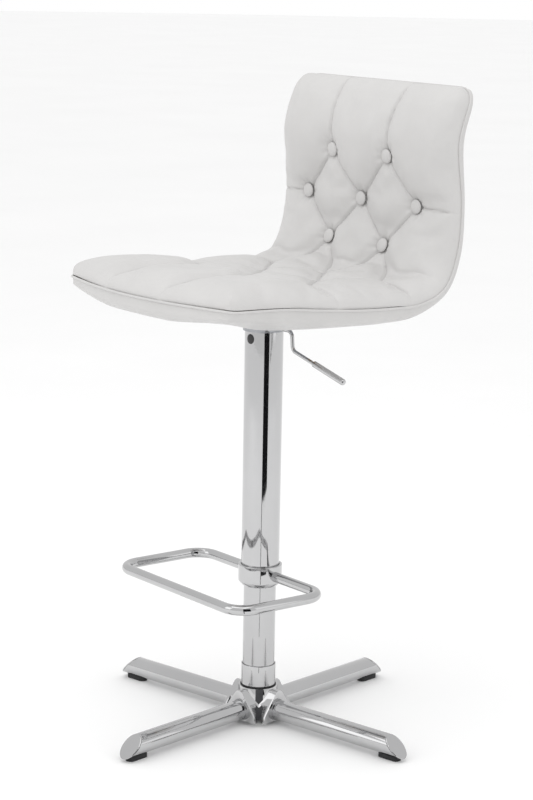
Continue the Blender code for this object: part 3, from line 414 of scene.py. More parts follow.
def turned(profile, steps=128, closed=True):
    """Vertices and faces of a profile of (radius, height) turned about the column's axis."""
    verts = []
    rings = []
    for radius, height in profile:
        if radius < 1e-6:
            rings.append([len(verts)] * steps)
            verts.append((0.0, 0.0, height))
            continue
        rings.append(list(range(len(verts), len(verts) + steps)))
        for step in range(steps):
            angle = 2 * math.pi * step / steps
            verts.append((radius * math.cos(angle), radius * math.sin(angle), height))
    pairs = list(zip(rings, rings[1:]))
    if closed:
        pairs.append((rings[-1], rings[0]))
    faces = []
    for lower, upper in pairs:
        for step in range(steps):
            after = (step + 1) % steps
            face = list(dict.fromkeys((lower[step], lower[after], upper[after], upper[step])))
            if len(face) > 2:
                faces.append(face)
    return verts, faces


def turned_piece(name, profile, finish, body, stands_for=(), bevel=None, steps=128, matrix=None):
    closed = profile[0][0] > 1e-6 or profile[-1][0] > 1e-6
    radius = sizes().metal_bevel if bevel is None else bevel
    mesh = solid_mesh(name, *turned(softened(profile, radius, closed), steps, closed))
    if matrix:
        mesh.transform(matrix)
    return add_piece(name, mesh, finish, body, stands_for)


def sleeve(node):
    """(outer radius, bottom, top) of a round CAD node on the column's axis."""
    low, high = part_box(node)
    return high.x, low.z, high.z


def tree_with(name, *inputs):
    """A geometry tree with its inputs, returned with a lookup of each one's identifier."""
    tree = bpy.data.node_groups.new(name, "GeometryNodeTree")
    tree.interface.new_socket("Geometry", in_out="INPUT", socket_type="NodeSocketGeometry")
    tree.interface.new_socket("Geometry", in_out="OUTPUT", socket_type="NodeSocketGeometry")
    known = {}
    for label, kind in inputs:
        known[label] = tree.interface.new_socket(label, in_out="INPUT", socket_type=kind).identifier
    return tree, known


def end_tree(tree, geometry, finish):
    """Closes a tree with Realize Instances and Set Material."""
    nodes = tree.nodes
    realize = nodes.new("GeometryNodeRealizeInstances")
    paint = nodes.new("GeometryNodeSetMaterial")
    paint.inputs["Material"].default_value = finish
    tree.links.new(geometry, realize.inputs["Geometry"])
    tree.links.new(realize.outputs["Geometry"], paint.inputs["Geometry"])
    tree.links.new(paint.outputs["Geometry"], nodes.new("NodeGroupOutput").inputs["Geometry"])


def grown(name, source, tree, values):
    """The plain mesh that a tree makes from a source mesh."""
    obj = bpy.data.objects.new(name + "_guide", source)
    bpy.context.scene.collection.objects.link(obj)
    modifier = obj.modifiers.new("Make", "NODES")
    modifier.node_group = tree
    for identifier, value in values.items():
        modifier[identifier] = value
    graph = bpy.context.evaluated_depsgraph_get()
    mesh = bpy.data.meshes.new_from_object(obj.evaluated_get(graph))
    bpy.data.objects.remove(obj, do_unlink=True)
    bm = bmesh.new()
    bm.from_mesh(mesh)
    bmesh.ops.remove_doubles(bm, verts=bm.verts, dist=0.000005)
    outwards(bm)
    bm.to_mesh(mesh)
    bm.free()
    return mesh


def round_bar(name, points, radius, finish, sides=32, cyclic=False):
    """A round bar that follows a path of points."""
    tree, known = tree_with(name, ("Radius", "NodeSocketFloat"), ("Sides", "NodeSocketInt"))
    nodes = tree.nodes
    given = nodes.new("NodeGroupInput")
    path = nodes.new("GeometryNodeMeshToCurve")
    ring = nodes.new("GeometryNodeCurvePrimitiveCircle")
    bar = nodes.new("GeometryNodeCurveToMesh")
    bar.inputs["Fill Caps"].default_value = True
    tree.links.new(given.outputs["Geometry"], path.inputs["Mesh"])
    tree.links.new(given.outputs["Radius"], ring.inputs["Radius"])
    tree.links.new(given.outputs["Sides"], ring.inputs["Resolution"])
    tree.links.new(path.outputs["Curve"], bar.inputs["Curve"])
    tree.links.new(ring.outputs["Curve"], bar.inputs["Profile Curve"])
    end_tree(tree, bar.outputs["Mesh"], finish_of(finish))
    source = bpy.data.meshes.new(name + "_path")
    count = len(points)
    edges = [(i, i + 1) for i in range(count - 1)]
    if cyclic:
        edges.append((count - 1, 0))
    source.from_pydata([tuple(p) for p in points], edges, [])
    return grown(name, source, tree, {known["Radius"]: radius, known["Sides"]: sides})


def bent_path(points, radius, steps=10):
    """A path with its corners bent to a radius."""
    path = [Vector(points[0])]
    for before, here, after in zip(points, points[1:], points[2:]):
        before, here, after = Vector(before), Vector(here), Vector(after)
        into = (here - before).normalized()
        away = (after - here).normalized()
        turn = into.angle(away)
        setback = radius * math.tan(turn / 2)
        first = here - into * setback
        centre_way = (away - into).normalized()
        centre = here + centre_way * (radius / math.cos(turn / 2))
        axis = into.cross(away).normalized()
        for step in range(steps + 1):
            arm = Matrix.Rotation(turn * step / steps, 3, axis) @ (first - centre)
            path.append(centre + arm)
    path.append(Vector(points[-1]))
    return path


# Base.


def leg_frames():
    """A matrix for each leg, from a leg along +X to its place."""
    cap_low, cap_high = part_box("leg_cap_1")
    middle = (cap_low + cap_high) / 2
    turn = math.atan2(middle.y, middle.x)
    for index in range(4):
        yield index + 1, Matrix.Rotation(turn + index * math.pi / 2, 4, "Z")


def slanted_bar(rings, radius, height, steps=72):
    """A closed round bar along X; each ring is (place, slant share, radius share)."""
    verts = []
    for place, slant, share in rings:
        for step in range(steps):
            angle = 2 * math.pi * step / steps
            rise = radius * share * math.sin(angle)
            verts.append((place - rise * slant, radius * share * math.cos(angle), height + rise))
    faces = [list(range(steps))]
    for ring in range(len(rings) - 1):
        first = ring * steps
        for step in range(steps):
            after = (step + 1) % steps
            faces.append([first + step, first + after, first + steps + after, first + steps + step])
    last = (len(rings) - 1) * steps
    faces.append(list(range(last, last + steps)))
    return verts, faces


LEG_START = 0.0275  # column axis to a leg tube's inner end
LEG_REACH = 0.2855  # column axis to the middle of a leg's slanted end face
END_PLATE = 0.0016
END_PLATE_EDGE = 0.0005


def make_legs():
    low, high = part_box("leg_1")
    leg_r = (high.z - low.z) / 2
    height = low.z + leg_r
    slant = math.sqrt(2)
    plate_back = LEG_REACH - END_PLATE * slant
    tube_end = LEG_REACH - (END_PLATE + GAP) * slant
    edge = END_PLATE_EDGE * slant
    for index, matrix in leg_frames():
        rings = [
            (LEG_START, 0.0, 0.97),
            (LEG_START + 0.0006, 0.0, 1.0),
            (LEG_START + 0.03, 0.1, 1.0),
            (tube_end - 0.0004, 1.0, 1.0),
            (tube_end, 1.0, 0.985),
        ]
        mesh = solid_mesh("leg", *slanted_bar(rings, leg_r, height))
        mesh.transform(matrix)
        add_piece(f"leg_tube_{index}", mesh, "chrome", "base", [f"leg_{index}"])
        rings = [
            (plate_back, 1.0, 0.975),
            (plate_back + edge, 1.0, 1.0),
            (LEG_REACH - edge, 1.0, 1.0),
            (LEG_REACH, 1.0, 0.965),
        ]
        mesh = solid_mesh("plate", *slanted_bar(rings, leg_r, height))
        mesh.transform(matrix)
        add_piece(f"leg_end_plate_{index}", mesh, "chrome", "base", [f"leg_cap_{index}"])


def softened_copy(name, node, finish, body, bevel):
    """A merged copy of a CAD node with its edges softened."""
    mesh = frame["nodes"][node].data.copy()
    bm = bmesh.new()
    bm.from_mesh(mesh)
    bmesh.ops.remove_doubles(bm, verts=bm.verts, dist=0.00001)
    bmesh.ops.dissolve_limit(bm, angle_limit=math.radians(1), verts=bm.verts, edges=bm.edges)
    edges = [e for e in bm.edges if len(e.link_faces) == 2 and e.calc_face_angle(0) > math.radians(34)]
    bmesh.ops.bevel(
        bm, geom=edges, offset=bevel, segments=2, profile=0.5, affect="EDGES", clamp_overlap=True
    )
    outwards(bm)
    bm.to_mesh(mesh)
    bm.free()
    return add_piece(name, mesh, finish, body, [node])


def make_hub():
    hub = softened_copy("hub_casting", "base_hub", "chrome", "base", 0.0007)
    mesh = hub.data
    # Painted shade: the chrome casting's faces in the pocket between its plates take the dark steel finish,
    # so that the pocket renders dark.
    mesh.materials.append(finish_of("dark_steel"))
    for face in mesh.polygons:
        out = Vector((face.center.x, face.center.y, 0.0))
        painted_shade_pocket = 0.0300 < out.length < 0.0385 and face.center.z < 0.046
        if painted_shade_pocket and out.normalized().dot(face.normal) > 0.97:
            face.material_index = 1
    radius, bottom, top = sleeve("hub_gasket")
    inner = radius - 0.0027
    profile = ((radius, top), (radius, bottom), (inner, bottom), (inner, top))
    turned_piece("column_gasket", profile, "rubber", "base", ["hub_gasket"])


def make_pads():
    for index, _ in leg_frames():
        softened_copy(f"floor_pad_{index}", f"foot_pad_{index}", "rubber", "base", 0.0005)


# Column.


def make_column():
    radius, bottom, top = sleeve("lower_tube")
    wall = 0.0018
    profile = ((radius, top), (radius, bottom), (radius - wall, bottom), (radius - wall, top))
    turned_piece("column_tube", profile, "chrome", "base", ["lower_tube"])
    ring_r, ring_bottom, ring_top = sleeve("column_ring")
    inner = radius + GAP
    profile = ((ring_r, ring_top), (ring_r, ring_bottom), (inner, ring_bottom), (inner, ring_top))
    turned_piece("column_foot_ring", profile, "chrome", "base", ["column_ring"], bevel=0.0009)


def make_cover():
    radius, bottom, top = sleeve("cover_tube")
    inner = radius - 0.0015
    profile = ((radius, top), (radius, bottom), (inner, bottom), (inner, top))
    turned_piece("cover_sleeve", profile, "chrome", "seat", ["cover_tube"])
    low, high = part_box("cover_plug")
    middle = (low + high) / 2
    turn = math.radians(-82)
    head = 0.0070
    profile = (
        (0, 0.0018),
        (head * 0.55, 0.0017),
        (head * 0.9, 0.0012),
        (head, 0.0003),
        (head, -0.0002),
        (head * 0.8, -0.0008),
        (0, -0.0008),
    )
    mesh = solid_mesh("plug", *turned(profile, 40, closed=False))
    for vertex in mesh.vertices:
        across, up, out = vertex.co.x, vertex.co.y, vertex.co.z
        lean = across / radius
        reach = radius + out
        vertex.co = (
            reach * math.cos(turn + lean),
            reach * math.sin(turn + lean),
            middle.z + up * 1.12,
        )
    bm = bmesh.new()
    bm.from_mesh(mesh)
    outwards(bm)
    bm.to_mesh(mesh)
    bm.free()
    add_piece("column_plug", mesh, "plastic", "seat", ["cover_plug"])


def make_collar():
    radius, bottom, top = sleeve("footrest_collar")
    cover_r = sleeve("cover_tube")[0]
    tube_r = sleeve("lower_tube")[0]
    bore = cover_r + GAP
    lip = bottom + 0.0092
    profile = (
        (radius, top),
        (radius, bottom + 0.007),
        (radius - 0.006, bottom),
        (tube_r + 3 * GAP, bottom),
        (tube_r + 3 * GAP, lip),
        (bore, lip),
        (bore, top),
    )
    turned_piece("collar_ring", profile, "chrome", "seat", ["footrest_collar"], bevel=0.0012)


def make_footrest():
    low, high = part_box("footrest_loop")
    bar = (high.z - low.z) / 2
    middle = (high.z + low.z) / 2
    side = high.x - bar
    front = low.y + bar
    back = high.y - bar
    collar = sleeve("footrest_collar")[0]
    corners = [
        (collar - 0.0022, back, middle),
        (side, back, middle),
        (side, front, middle),
        (-side, front, middle),
        (-side, back, middle),
        (-collar + 0.0022, back, middle),
    ]
    mesh = round_bar("loop", bent_path(corners, 0.034, 14), bar, "chrome", 48)
    add_piece("footrest_bar", mesh, "chrome", "seat", ["footrest_loop"])


# Lever.


def make_lever():
    pivot_z = UNDERSIDE - 0.006
    slope = math.radians(13.6)
    handle = 0.060  # how far the bar runs on inside its handle
    away = Vector((math.cos(slope), 0, -math.sin(slope)))
    elbow = Vector((0.069, 0, pivot_z))
    foot = Vector((0.072, 0, pivot_z - 0.029))
    grip_start = foot + away * 0.054
    grip_length = 0.074
    path = bent_path([(-0.0025, 0, pivot_z), elbow, foot, grip_start + away * handle], 0.010, 10)
    mesh = round_bar("lever", path, sizes().lever_radius, "chrome", 28)
    add_piece("lever_bar", mesh, "chrome", "lever", ["lever_arm"])
    grip = 0.0050
    inner = sizes().lever_radius + GAP
    profile = (
        (0, grip_length),
        (grip * 0.45, grip_length - 0.0003),
        (grip * 0.80, grip_length - 0.0014),
        (grip, grip_length - 0.0038),
        (grip, grip_length - 0.0090),
        (grip - 0.0004, grip_length - 0.0093),
        (grip - 0.0004, grip_length - 0.0099),
        (grip, grip_length - 0.0102),
        (grip, 0.0006),
        (grip - 0.0006, 0),
        (inner, 0),
        (inner, 0.0620),
        (0, 0.0620),
    )
    turn = Vector((0, 0, 1)).rotation_difference(away).to_matrix().to_4x4()
    matrix = Matrix.Translation(grip_start) @ turn
    turned_piece("lever_handle", profile, "chrome", "lever", ["lever_grip"], 0.0003, 48, matrix)


# Seat.


def spline_point(points, at):
    """A smooth curve through the points, at 0 for the first and len - 1 for the last."""
    index = min(int(at), len(points) - 2)
    share = at - index
    before = Vector(points[max(index - 1, 0)])
    first = Vector(points[index])
    second = Vector(points[index + 1])
    after = Vector(points[min(index + 2, len(points) - 1)])
    straight = second - first
    leave = (second - before) / 2 if index else straight
    arrive = (after - first) / 2 if index + 2 < len(points) else straight
    a = 2 * share**3 - 3 * share**2 + 1
    b = share**3 - 2 * share**2 + share
    c = -2 * share**3 + 3 * share**2
    d = share**3 - share**2
    return first * a + leave * b + second * c + arrive * d


class SeatShape:
    """The seat's profile: seam line, shell line and normal by distance from the front edge."""

    def __init__(self):
        last = len(SEAM_LINE) - 1
        ats = np.linspace(0, last, 60 * last + 1)
        seam = np.array([spline_point(SEAM_LINE, at) for at in ats])
        shell = np.array([spline_point(SHELL_LINE, at) for at in ats])
        steps = np.linalg.norm(np.diff(seam, axis=0), axis=1)
        self.ats = np.concatenate([[0.0], np.cumsum(steps)])
        self.length = float(self.ats[-1])
        self.seam = seam
        self.shell = shell
        along = np.gradient(seam, axis=0)
        kernel = np.ones(9) / 9
        smooth = [np.convolve(np.pad(along[:, i], 4, "edge"), kernel, "valid") for i in (0, 1)]
        along = np.stack(smooth, axis=1)
        along /= np.linalg.norm(along, axis=1)[:, None]
        self.normal = np.stack([-along[:, 1], along[:, 0]], axis=1)

    def frame(self, distance):
        """Seam point, way to the shell's outer face, and normal, for an array of distances."""
        seam = self._read(self.seam, distance)
        return seam, self._read(self.shell, distance) - seam, self._read(self.normal, distance)

    def _read(self, table, distance):
        return np.stack([np.interp(distance, self.ats, table[:, i]) for i in (0, 1)], axis=-1)

    def distance_at(self, rise=None, depth=None):
        """Distance from the front edge to a height on the back, or to a depth on the seat."""
        if rise is not None:
            past = np.nonzero((self.seam[:, 1] >= rise) & (self.ats > self.length / 3))[0]
        else:
            past = np.nonzero(self.seam[:, 0] >= depth)[0]
        return float(self.ats[past[0]])


def half_width(distance, total, inset=0.0):
    """Half of the seat's width within an inset edge, with round corners in its plan."""
    past_bend = 2 * distance / total - 1
    corner = np.where(past_bend < 0, FRONT_CORNER_R, TOP_CORNER_R)
    taper = np.where(past_bend < 0, FRONT_TAPER, TOP_TAPER)
    full = SEAT_HALF_WIDTH - taper * np.abs(past_bend)
    sink = corner - np.minimum(distance, total - distance)
    arc = full - corner + np.sqrt(np.clip((corner - inset) ** 2 - sink**2, 0, None))
    return np.where(sink <= 0, full - inset, arc)


def pulled(distance, total, inset):
    edge = np.minimum(distance, total - distance)
    moved = inset + edge * (1 - inset / CUSHION_SHOULDER)
    edge = np.where(edge < CUSHION_SHOULDER, moved, edge)
    return np.where(distance < total / 2, edge, total - edge)


def depth_share(across):
    side = np.clip(np.abs(across) - FLAT_HALF_WIDTH, 0, None) / (SEAT_HALF_WIDTH - FLAT_HALF_WIDTH)
    return 1 - (1 - SEAT_EDGE_SHARE) * side**SEAT_SIDE_CURVE


def sheet_places(shape, offsets, distances, inset=0.0):
    """Where a grid of the seat lies: reach across, distance, rim distance and forward bow."""
    offset, distance = np.meshgrid(offsets, distances)
    moved = pulled(distance, shape.length, inset)
    wide = half_width(moved, shape.length)
    edge = SEAT_HALF_WIDTH - np.abs(offset)
    squeezed = half_width(moved, shape.length, inset) - edge * (1 - inset / CUSHION_SHOULDER)
    middle = (wide - CUSHION_SHOULDER) * np.abs(offset) / (SEAT_HALF_WIDTH - CUSHION_SHOULDER)
    reach = np.where(edge < CUSHION_SHOULDER, squeezed, middle)
    across = np.sign(offset) * reach
    rim = np.clip(np.minimum(wide - reach, np.minimum(moved, shape.length - moved)), 0, None)
    fade = np.clip(1 - distance / BOW_LENGTH, 0, None) ** 2
    bow = FRONT_BOW * fade * (1 - (offset / SEAT_HALF_WIDTH) ** 2)
    return across, moved, rim, bow


def lifted(across, flat, bow):
    """Grid points from their places in the profile's plane."""
    return np.stack([across, flat[..., 0] - bow, flat[..., 1] + UNDERSIDE], axis=-1)


def close_steps(total, step, first=(0.0, 0.0012, 0.0032, 0.0062, 0.0100)):
    """Distances from edge to edge, close together near both."""
    start = first[-1]
    count = max(int(round((total - 2 * start) / step)), 2)
    middle = np.linspace(start, total - start, count + 1)
    return np.concatenate([first[:-1], middle, [total - f for f in reversed(first[:-1])]])


def dome(rim, height, distance, total):
    """Cushion's height over its seam; its edge stands a little clear of the welt on the seat."""
    share = np.clip(rim / CUSHION_SHOULDER, 0, 1)
    edge = CUSHION_EDGE_HEIGHT + 0.0022 * np.clip((0.5 * total - distance) / 0.05, 0, 1)
    return edge + (height - edge) * np.sqrt(1 - (1 - share) ** 2)


TUFT_SIDE = 0.066
TUFT_RISES = (0.254, 0.179, 0.106)
TUFT_DEPTHS = (0.120, 0.050, -0.025, -0.100)


def tufts(shape):
    """Rows of (across, distance), top row first."""
    rows = []
    for index, rise in enumerate(TUFT_RISES):
        count = 3 if index % 2 else 2
        along = shape.distance_at(rise=rise)
        rows.append([((2 * i - count + 1) * TUFT_SIDE, along) for i in range(count)])
    for index, depth in enumerate(TUFT_DEPTHS):
        count = 2 if index % 2 else 3
        along = shape.distance_at(depth=depth)
        rows.append([((2 * i - count + 1) * TUFT_SIDE, along) for i in range(count)])
    return rows


def creases(shape):
    """Straight runs between tufts, and from the outer ones to the edges."""
    rows = tufts(shape)
    runs = []
    for first, second in zip(rows, rows[1:]):
        for a in first:
            for b in second:
                if abs(a[0] - b[0]) < TUFT_SIDE * 1.2:
                    runs.append((a, b))
    for a in rows[0]:
        runs.append((a, (a[0] * 1.16, shape.length)))
    for row in (rows[1], rows[3], rows[5]):
        for a in (row[0], row[-1]):
            runs.append((a, (math.copysign(SEAT_HALF_WIDTH, a[0]), a[1] - 0.004)))
    for a in rows[-1]:
        runs.append((a, (a[0] * 1.05, 0.0)))
    return runs


def nearest_run(x, s, runs):
    """Distance to the nearest crease."""
    best = np.full(x.shape, 1.0)
    for (x0, s0), (x1, s1) in runs:
        dx, ds = x1 - x0, s1 - s0
        share = np.clip(((x - x0) * dx + (s - s0) * ds) / (dx * dx + ds * ds), 0, 1)
        best = np.minimum(best, np.hypot(x - x0 - share * dx, s - s0 - share * ds))
    return best


def nearest_tuft(x, s, places):
    best = np.full(x.shape, 1.0)
    angle = np.zeros(x.shape)
    for x0, s0 in places:
        away = np.hypot(x - x0, s - s0)
        closer = away < best
        angle = np.where(closer, np.arctan2(s - s0, x - x0), angle)
        best = np.minimum(best, away)
    return best, angle


def crease_drop(x, s, rim, shape):
    """How far the cushion's face sinks at its creases and around its buttons."""
    size = sizes()
    rows = tufts(shape)
    buttons = [place for row in rows[:3] for place in row]
    quiet = [place for row in rows[3:] for place in row]
    line = nearest_run(x, s, creases(shape))
    rounded = np.sqrt(line**2 + 0.0006**2) - 0.0006
    share = np.clip(rounded / size.crease_width, 0, 1)
    edge_fade = np.clip(rim / 0.022, 0.45, 1)
    fold = size.fold_depth * np.clip(1 - rounded / size.fold_width, 0, 1) ** 1.5
    drop = edge_fade * (size.crease_depth * (1 - np.sqrt(1 - (1 - share) ** 2)) + fold)
    away, angle = nearest_tuft(x, s, buttons)
    flat = size.button_radius * 0.9
    share = np.clip((away - flat) / (size.button_reach - flat), 0, 1)
    sink = size.button_sink * (1 - share) ** 2.0
    pleat = 0.0006 * np.cos(9 * angle) * np.exp(-(((away - 0.016) / 0.008) ** 2))
    away, angle = nearest_tuft(x, s, quiet)
    share = np.clip(away / size.button_reach, 0, 1)
    soft = 0.55 * size.button_sink * (1 - share) ** 2.0
    return np.sqrt(drop**2 + sink**2 + soft**2) + pleat


def puffed(obj, held, cap):
    """Fills the cushion with air while its seams and creases stay held, and keeps the result."""
    scene = bpy.context.scene
    mesh = obj.data
    count = len(mesh.vertices)
    before = np.zeros(count * 3)
    mesh.vertices.foreach_get("co", before)
    before = before.reshape(-1, 3)
    group = obj.vertex_groups.new(name="held")
    for index in np.nonzero(held > 0.02)[0]:
        group.add([int(index)], float(held[index]), "REPLACE")
    cloth = obj.modifiers.new("Fill", "CLOTH")
    fabric = cloth.settings
    fabric.quality = 5
    fabric.mass = 0.25
    fabric.tension_stiffness = 12.0
    fabric.compression_stiffness = 12.0
    fabric.shear_stiffness = 5.0
    fabric.bending_stiffness = 0.6
    fabric.shrink_min = -0.025
    fabric.vertex_group_mass = "held"
    fabric.use_pressure = True
    fabric.uniform_pressure_force = 4.0
    fabric.effector_weights.gravity = 0.0
    cloth.point_cache.frame_start = 1
    cloth.point_cache.frame_end = 20
    for step in range(1, 21):
        scene.frame_set(step)
    graph = bpy.context.evaluated_depsgraph_get()
    made = obj.evaluated_get(graph).data
    after = np.zeros(count * 3)
    made.vertices.foreach_get("co", after)
    move = after.reshape(-1, 3) - before
    far = np.linalg.norm(move, axis=1)
    move *= np.minimum(1.0, cap / np.maximum(far, 1e-9))[:, None]
    obj.modifiers.clear()
    obj.vertex_groups.clear()
    scene.frame_set(1)
    return move


def relaxed(field, rounds):
    """A field on the grid with its sudden changes evened out."""
    for _ in range(rounds):
        padded = np.pad(field, ((1, 1), (1, 1), (0, 0)), "edge")
        ring = padded[:-2, 1:-1] + padded[2:, 1:-1] + padded[1:-1, :-2] + padded[1:-1, 2:]
        field = 0.5 * field + 0.125 * ring
    return field


def doubled(field):
    """A grid field with a new line between each two, smoothly interpolated."""
    for axis in (0, 1):
        field = np.moveaxis(field, axis, 0)
        wide = np.concatenate([[2 * field[0] - field[1]], field, [2 * field[-1] - field[-2]]])
        between = (-wide[:-3] + 9 * wide[1:-2] + 9 * wide[2:-1] - wide[3:]) / 16
        mixed = np.empty((2 * len(field) - 1, *field.shape[1:]))
        mixed[0::2] = field
        mixed[1::2] = between
        field = np.moveaxis(mixed, 0, axis)
    return field


def rim_loop(grid):
    """The outermost points of a grid, once round."""
    return list(grid[0, :-1]) + list(grid[:-1, -1]) + list(grid[-1, :0:-1]) + list(grid[:0:-1, 0])


def grid_faces(first, rows, columns, flipped=False):
    """Faces of a grid whose points start at an index."""
    faces = []
    for r in range(rows - 1):
        for c in range(columns - 1):
            a = first + r * columns + c
            face = [a, a + 1, a + columns + 1, a + columns]
            faces.append(face[::-1] if flipped else face)
    return faces


def halved(values):
    """Values with the middle of each two added between them."""
    mixed = np.empty(2 * len(values) - 1)
    mixed[0::2] = values
    mixed[1::2] = (values[:-1] + values[1:]) / 2
    return mixed


def sandwich(top, bottom, finer=1):
    """A closed shape between two grids, the top one that many times finer than the bottom one."""
    rows, columns = top.shape[:2]
    low_rows, low_columns = bottom.shape[:2]
    verts = np.concatenate([top.reshape(-1, 3), bottom.reshape(-1, 3)])
    second = rows * columns
    faces = grid_faces(0, rows, columns) + grid_faces(second, low_rows, low_columns, True)
    rim = rim_loop(np.arange(rows * columns).reshape(rows, columns))
    low_rim = rim_loop(np.arange(low_rows * low_columns).reshape(low_rows, low_columns) + second)
    rim.append(rim[0])
    for index, here in enumerate(low_rim):
        after = low_rim[(index + 1) % len(low_rim)]
        run = rim[index * finer : (index + 1) * finer + 1]
        faces.append([int(after), int(here), *[int(i) for i in run]])
    return verts, faces


def cushion_layers(shape, offsets, distances):
    """Outer face and underside of the cushion on one grid, with the facing, places and rim distances of its
    outer face.
    """
    across, distance, rim, bow = sheet_places(shape, offsets, distances)
    seam, _, normal = shape.frame(distance)
    high = seam + normal * dome(rim, sizes().cushion_height, distance, shape.length)[..., None]
    top = lifted(across, high, bow)
    inset = 0.017
    under_across, under_distance, _, under_bow = sheet_places(shape, offsets, distances, inset)
    seam_u, depth_u, _ = shape.frame(under_distance)
    low = seam_u + depth_u * depth_share(under_across)[..., None]
    inwards = -depth_u / np.linalg.norm(depth_u, axis=-1)[..., None]
    low = low + inwards * 0.0155
    bottom = lifted(under_across, low, under_bow)
    facing = np.stack([np.zeros_like(across), normal[..., 0], normal[..., 1]], axis=-1)
    return top, bottom, facing, across, distance, rim


def make_cushion():
    shape = SeatShape()
    step = sizes().panel_step
    offsets = close_steps(2 * SEAT_HALF_WIDTH, step) - SEAT_HALF_WIDTH
    distances = close_steps(shape.length, step)
    top, bottom, facing, across, distance, rim = cushion_layers(shape, offsets, distances)
    move = np.zeros_like(top)
    start = top - facing * (0.003 * np.clip(rim / 0.03, 0, 1))[..., None]
    mesh = solid_mesh("cushion_start", *sandwich(start, bottom))
    obj = bpy.data.objects.new("cushion_start", mesh)
    bpy.context.scene.collection.objects.link(obj)
    line = nearest_run(across, distance, creases(shape))
    held = np.exp(-((line / 0.0045) ** 2))
    held = np.maximum(held, np.exp(-((rim / 0.004) ** 2)))
    held = np.concatenate([held.reshape(-1), np.ones(bottom.shape[0] * bottom.shape[1])])
    if len(mesh.vertices) != len(held):
        raise RuntimeError("the cushion's grid lost points when it was closed")
    move = puffed(obj, held, sizes().puff_cap)[: top.shape[0] * top.shape[1]]
    bpy.data.objects.remove(obj, do_unlink=True)
    move = relaxed(move.reshape(top.shape), 3)
    move -= facing * (0.003 * np.clip(rim / 0.03, 0, 1))[..., None]
    fine_offsets = halved(halved(offsets))
    fine_distances = halved(halved(distances))
    top, _, facing, across, distance, rim = cushion_layers(shape, fine_offsets, fine_distances)
    drop = crease_drop(across, distance, rim, shape)
    top = top + doubled(doubled(move)) - facing * drop[..., None]
    mesh = solid_mesh("cushion", *sandwich(top, bottom, 4))
    obj = add_piece(
        "seat_cushion", mesh, "leatherette", "seat", ["cushion_cover", "seat_foam"], 60
    )


def make_buttons():
    """Covered buttons, each a flattened dome that faces out of its dimple."""
    shape = SeatShape()
    size = sizes()
    tree, known = tree_with("covered_buttons", ("Radius", "NodeSocketFloat"), ("Dome", "NodeSocketFloat"))
    nodes = tree.nodes
    given = nodes.new("NodeGroupInput")
    ball = nodes.new("GeometryNodeMeshUVSphere")
    ball.inputs["Segments"].default_value = 40
    ball.inputs["Rings"].default_value = 20
    ball.inputs["Radius"].default_value = 1.0
    stretch = nodes.new("ShaderNodeCombineXYZ")
    squash = nodes.new("GeometryNodeTransform")
    facing = nodes.new("GeometryNodeInputNamedAttribute")
    facing.data_type = "FLOAT_VECTOR"
    facing.inputs["Name"].default_value = "facing"
    turn = nodes.new("FunctionNodeAlignRotationToVector")
    turn.axis = "Z"
    spots = nodes.new("GeometryNodeInstanceOnPoints")
    links = tree.links
    for axis in ("X", "Y"):
        links.new(given.outputs["Radius"], stretch.inputs[axis])
    links.new(given.outputs["Dome"], stretch.inputs["Z"])
    links.new(ball.outputs["Mesh"], squash.inputs["Geometry"])
    links.new(stretch.outputs["Vector"], squash.inputs["Scale"])
    links.new(facing.outputs["Attribute"], turn.inputs["Vector"])
    links.new(given.outputs["Geometry"], spots.inputs["Points"])
    links.new(squash.outputs["Geometry"], spots.inputs["Instance"])
    links.new(turn.outputs["Rotation"], spots.inputs["Rotation"])
    end_tree(tree, spots.outputs["Instances"], finish_of("leatherette"))
    places = [place for row in tufts(shape)[:3] for place in row]
    points = []
    ways = []
    for x, along in places:
        seam, _, normal = (v[0] for v in shape.frame(np.array([along])))
        flat = seam + normal * (size.cushion_height - size.button_sink + 0.0006)
        points.append((x, flat[0], flat[1] + UNDERSIDE))
        ways.append((0.0, normal[0], normal[1]))
    source = bpy.data.meshes.new("button_spots")
    source.from_pydata(points, [], [])
    layer = source.attributes.new("facing", "FLOAT_VECTOR", "POINT")
    layer.data.foreach_set("vector", np.array(ways, np.float32).reshape(-1))
    values = {known["Radius"]: size.button_radius, known["Dome"]: size.button_dome}
    mesh = grown("buttons", source, tree, values)
    nodes_made = [f"tuft_button_{i}" for i in range(1, 8)]
    obj = add_piece("cushion_buttons", mesh, "leatherette", "seat", nodes_made, 60)


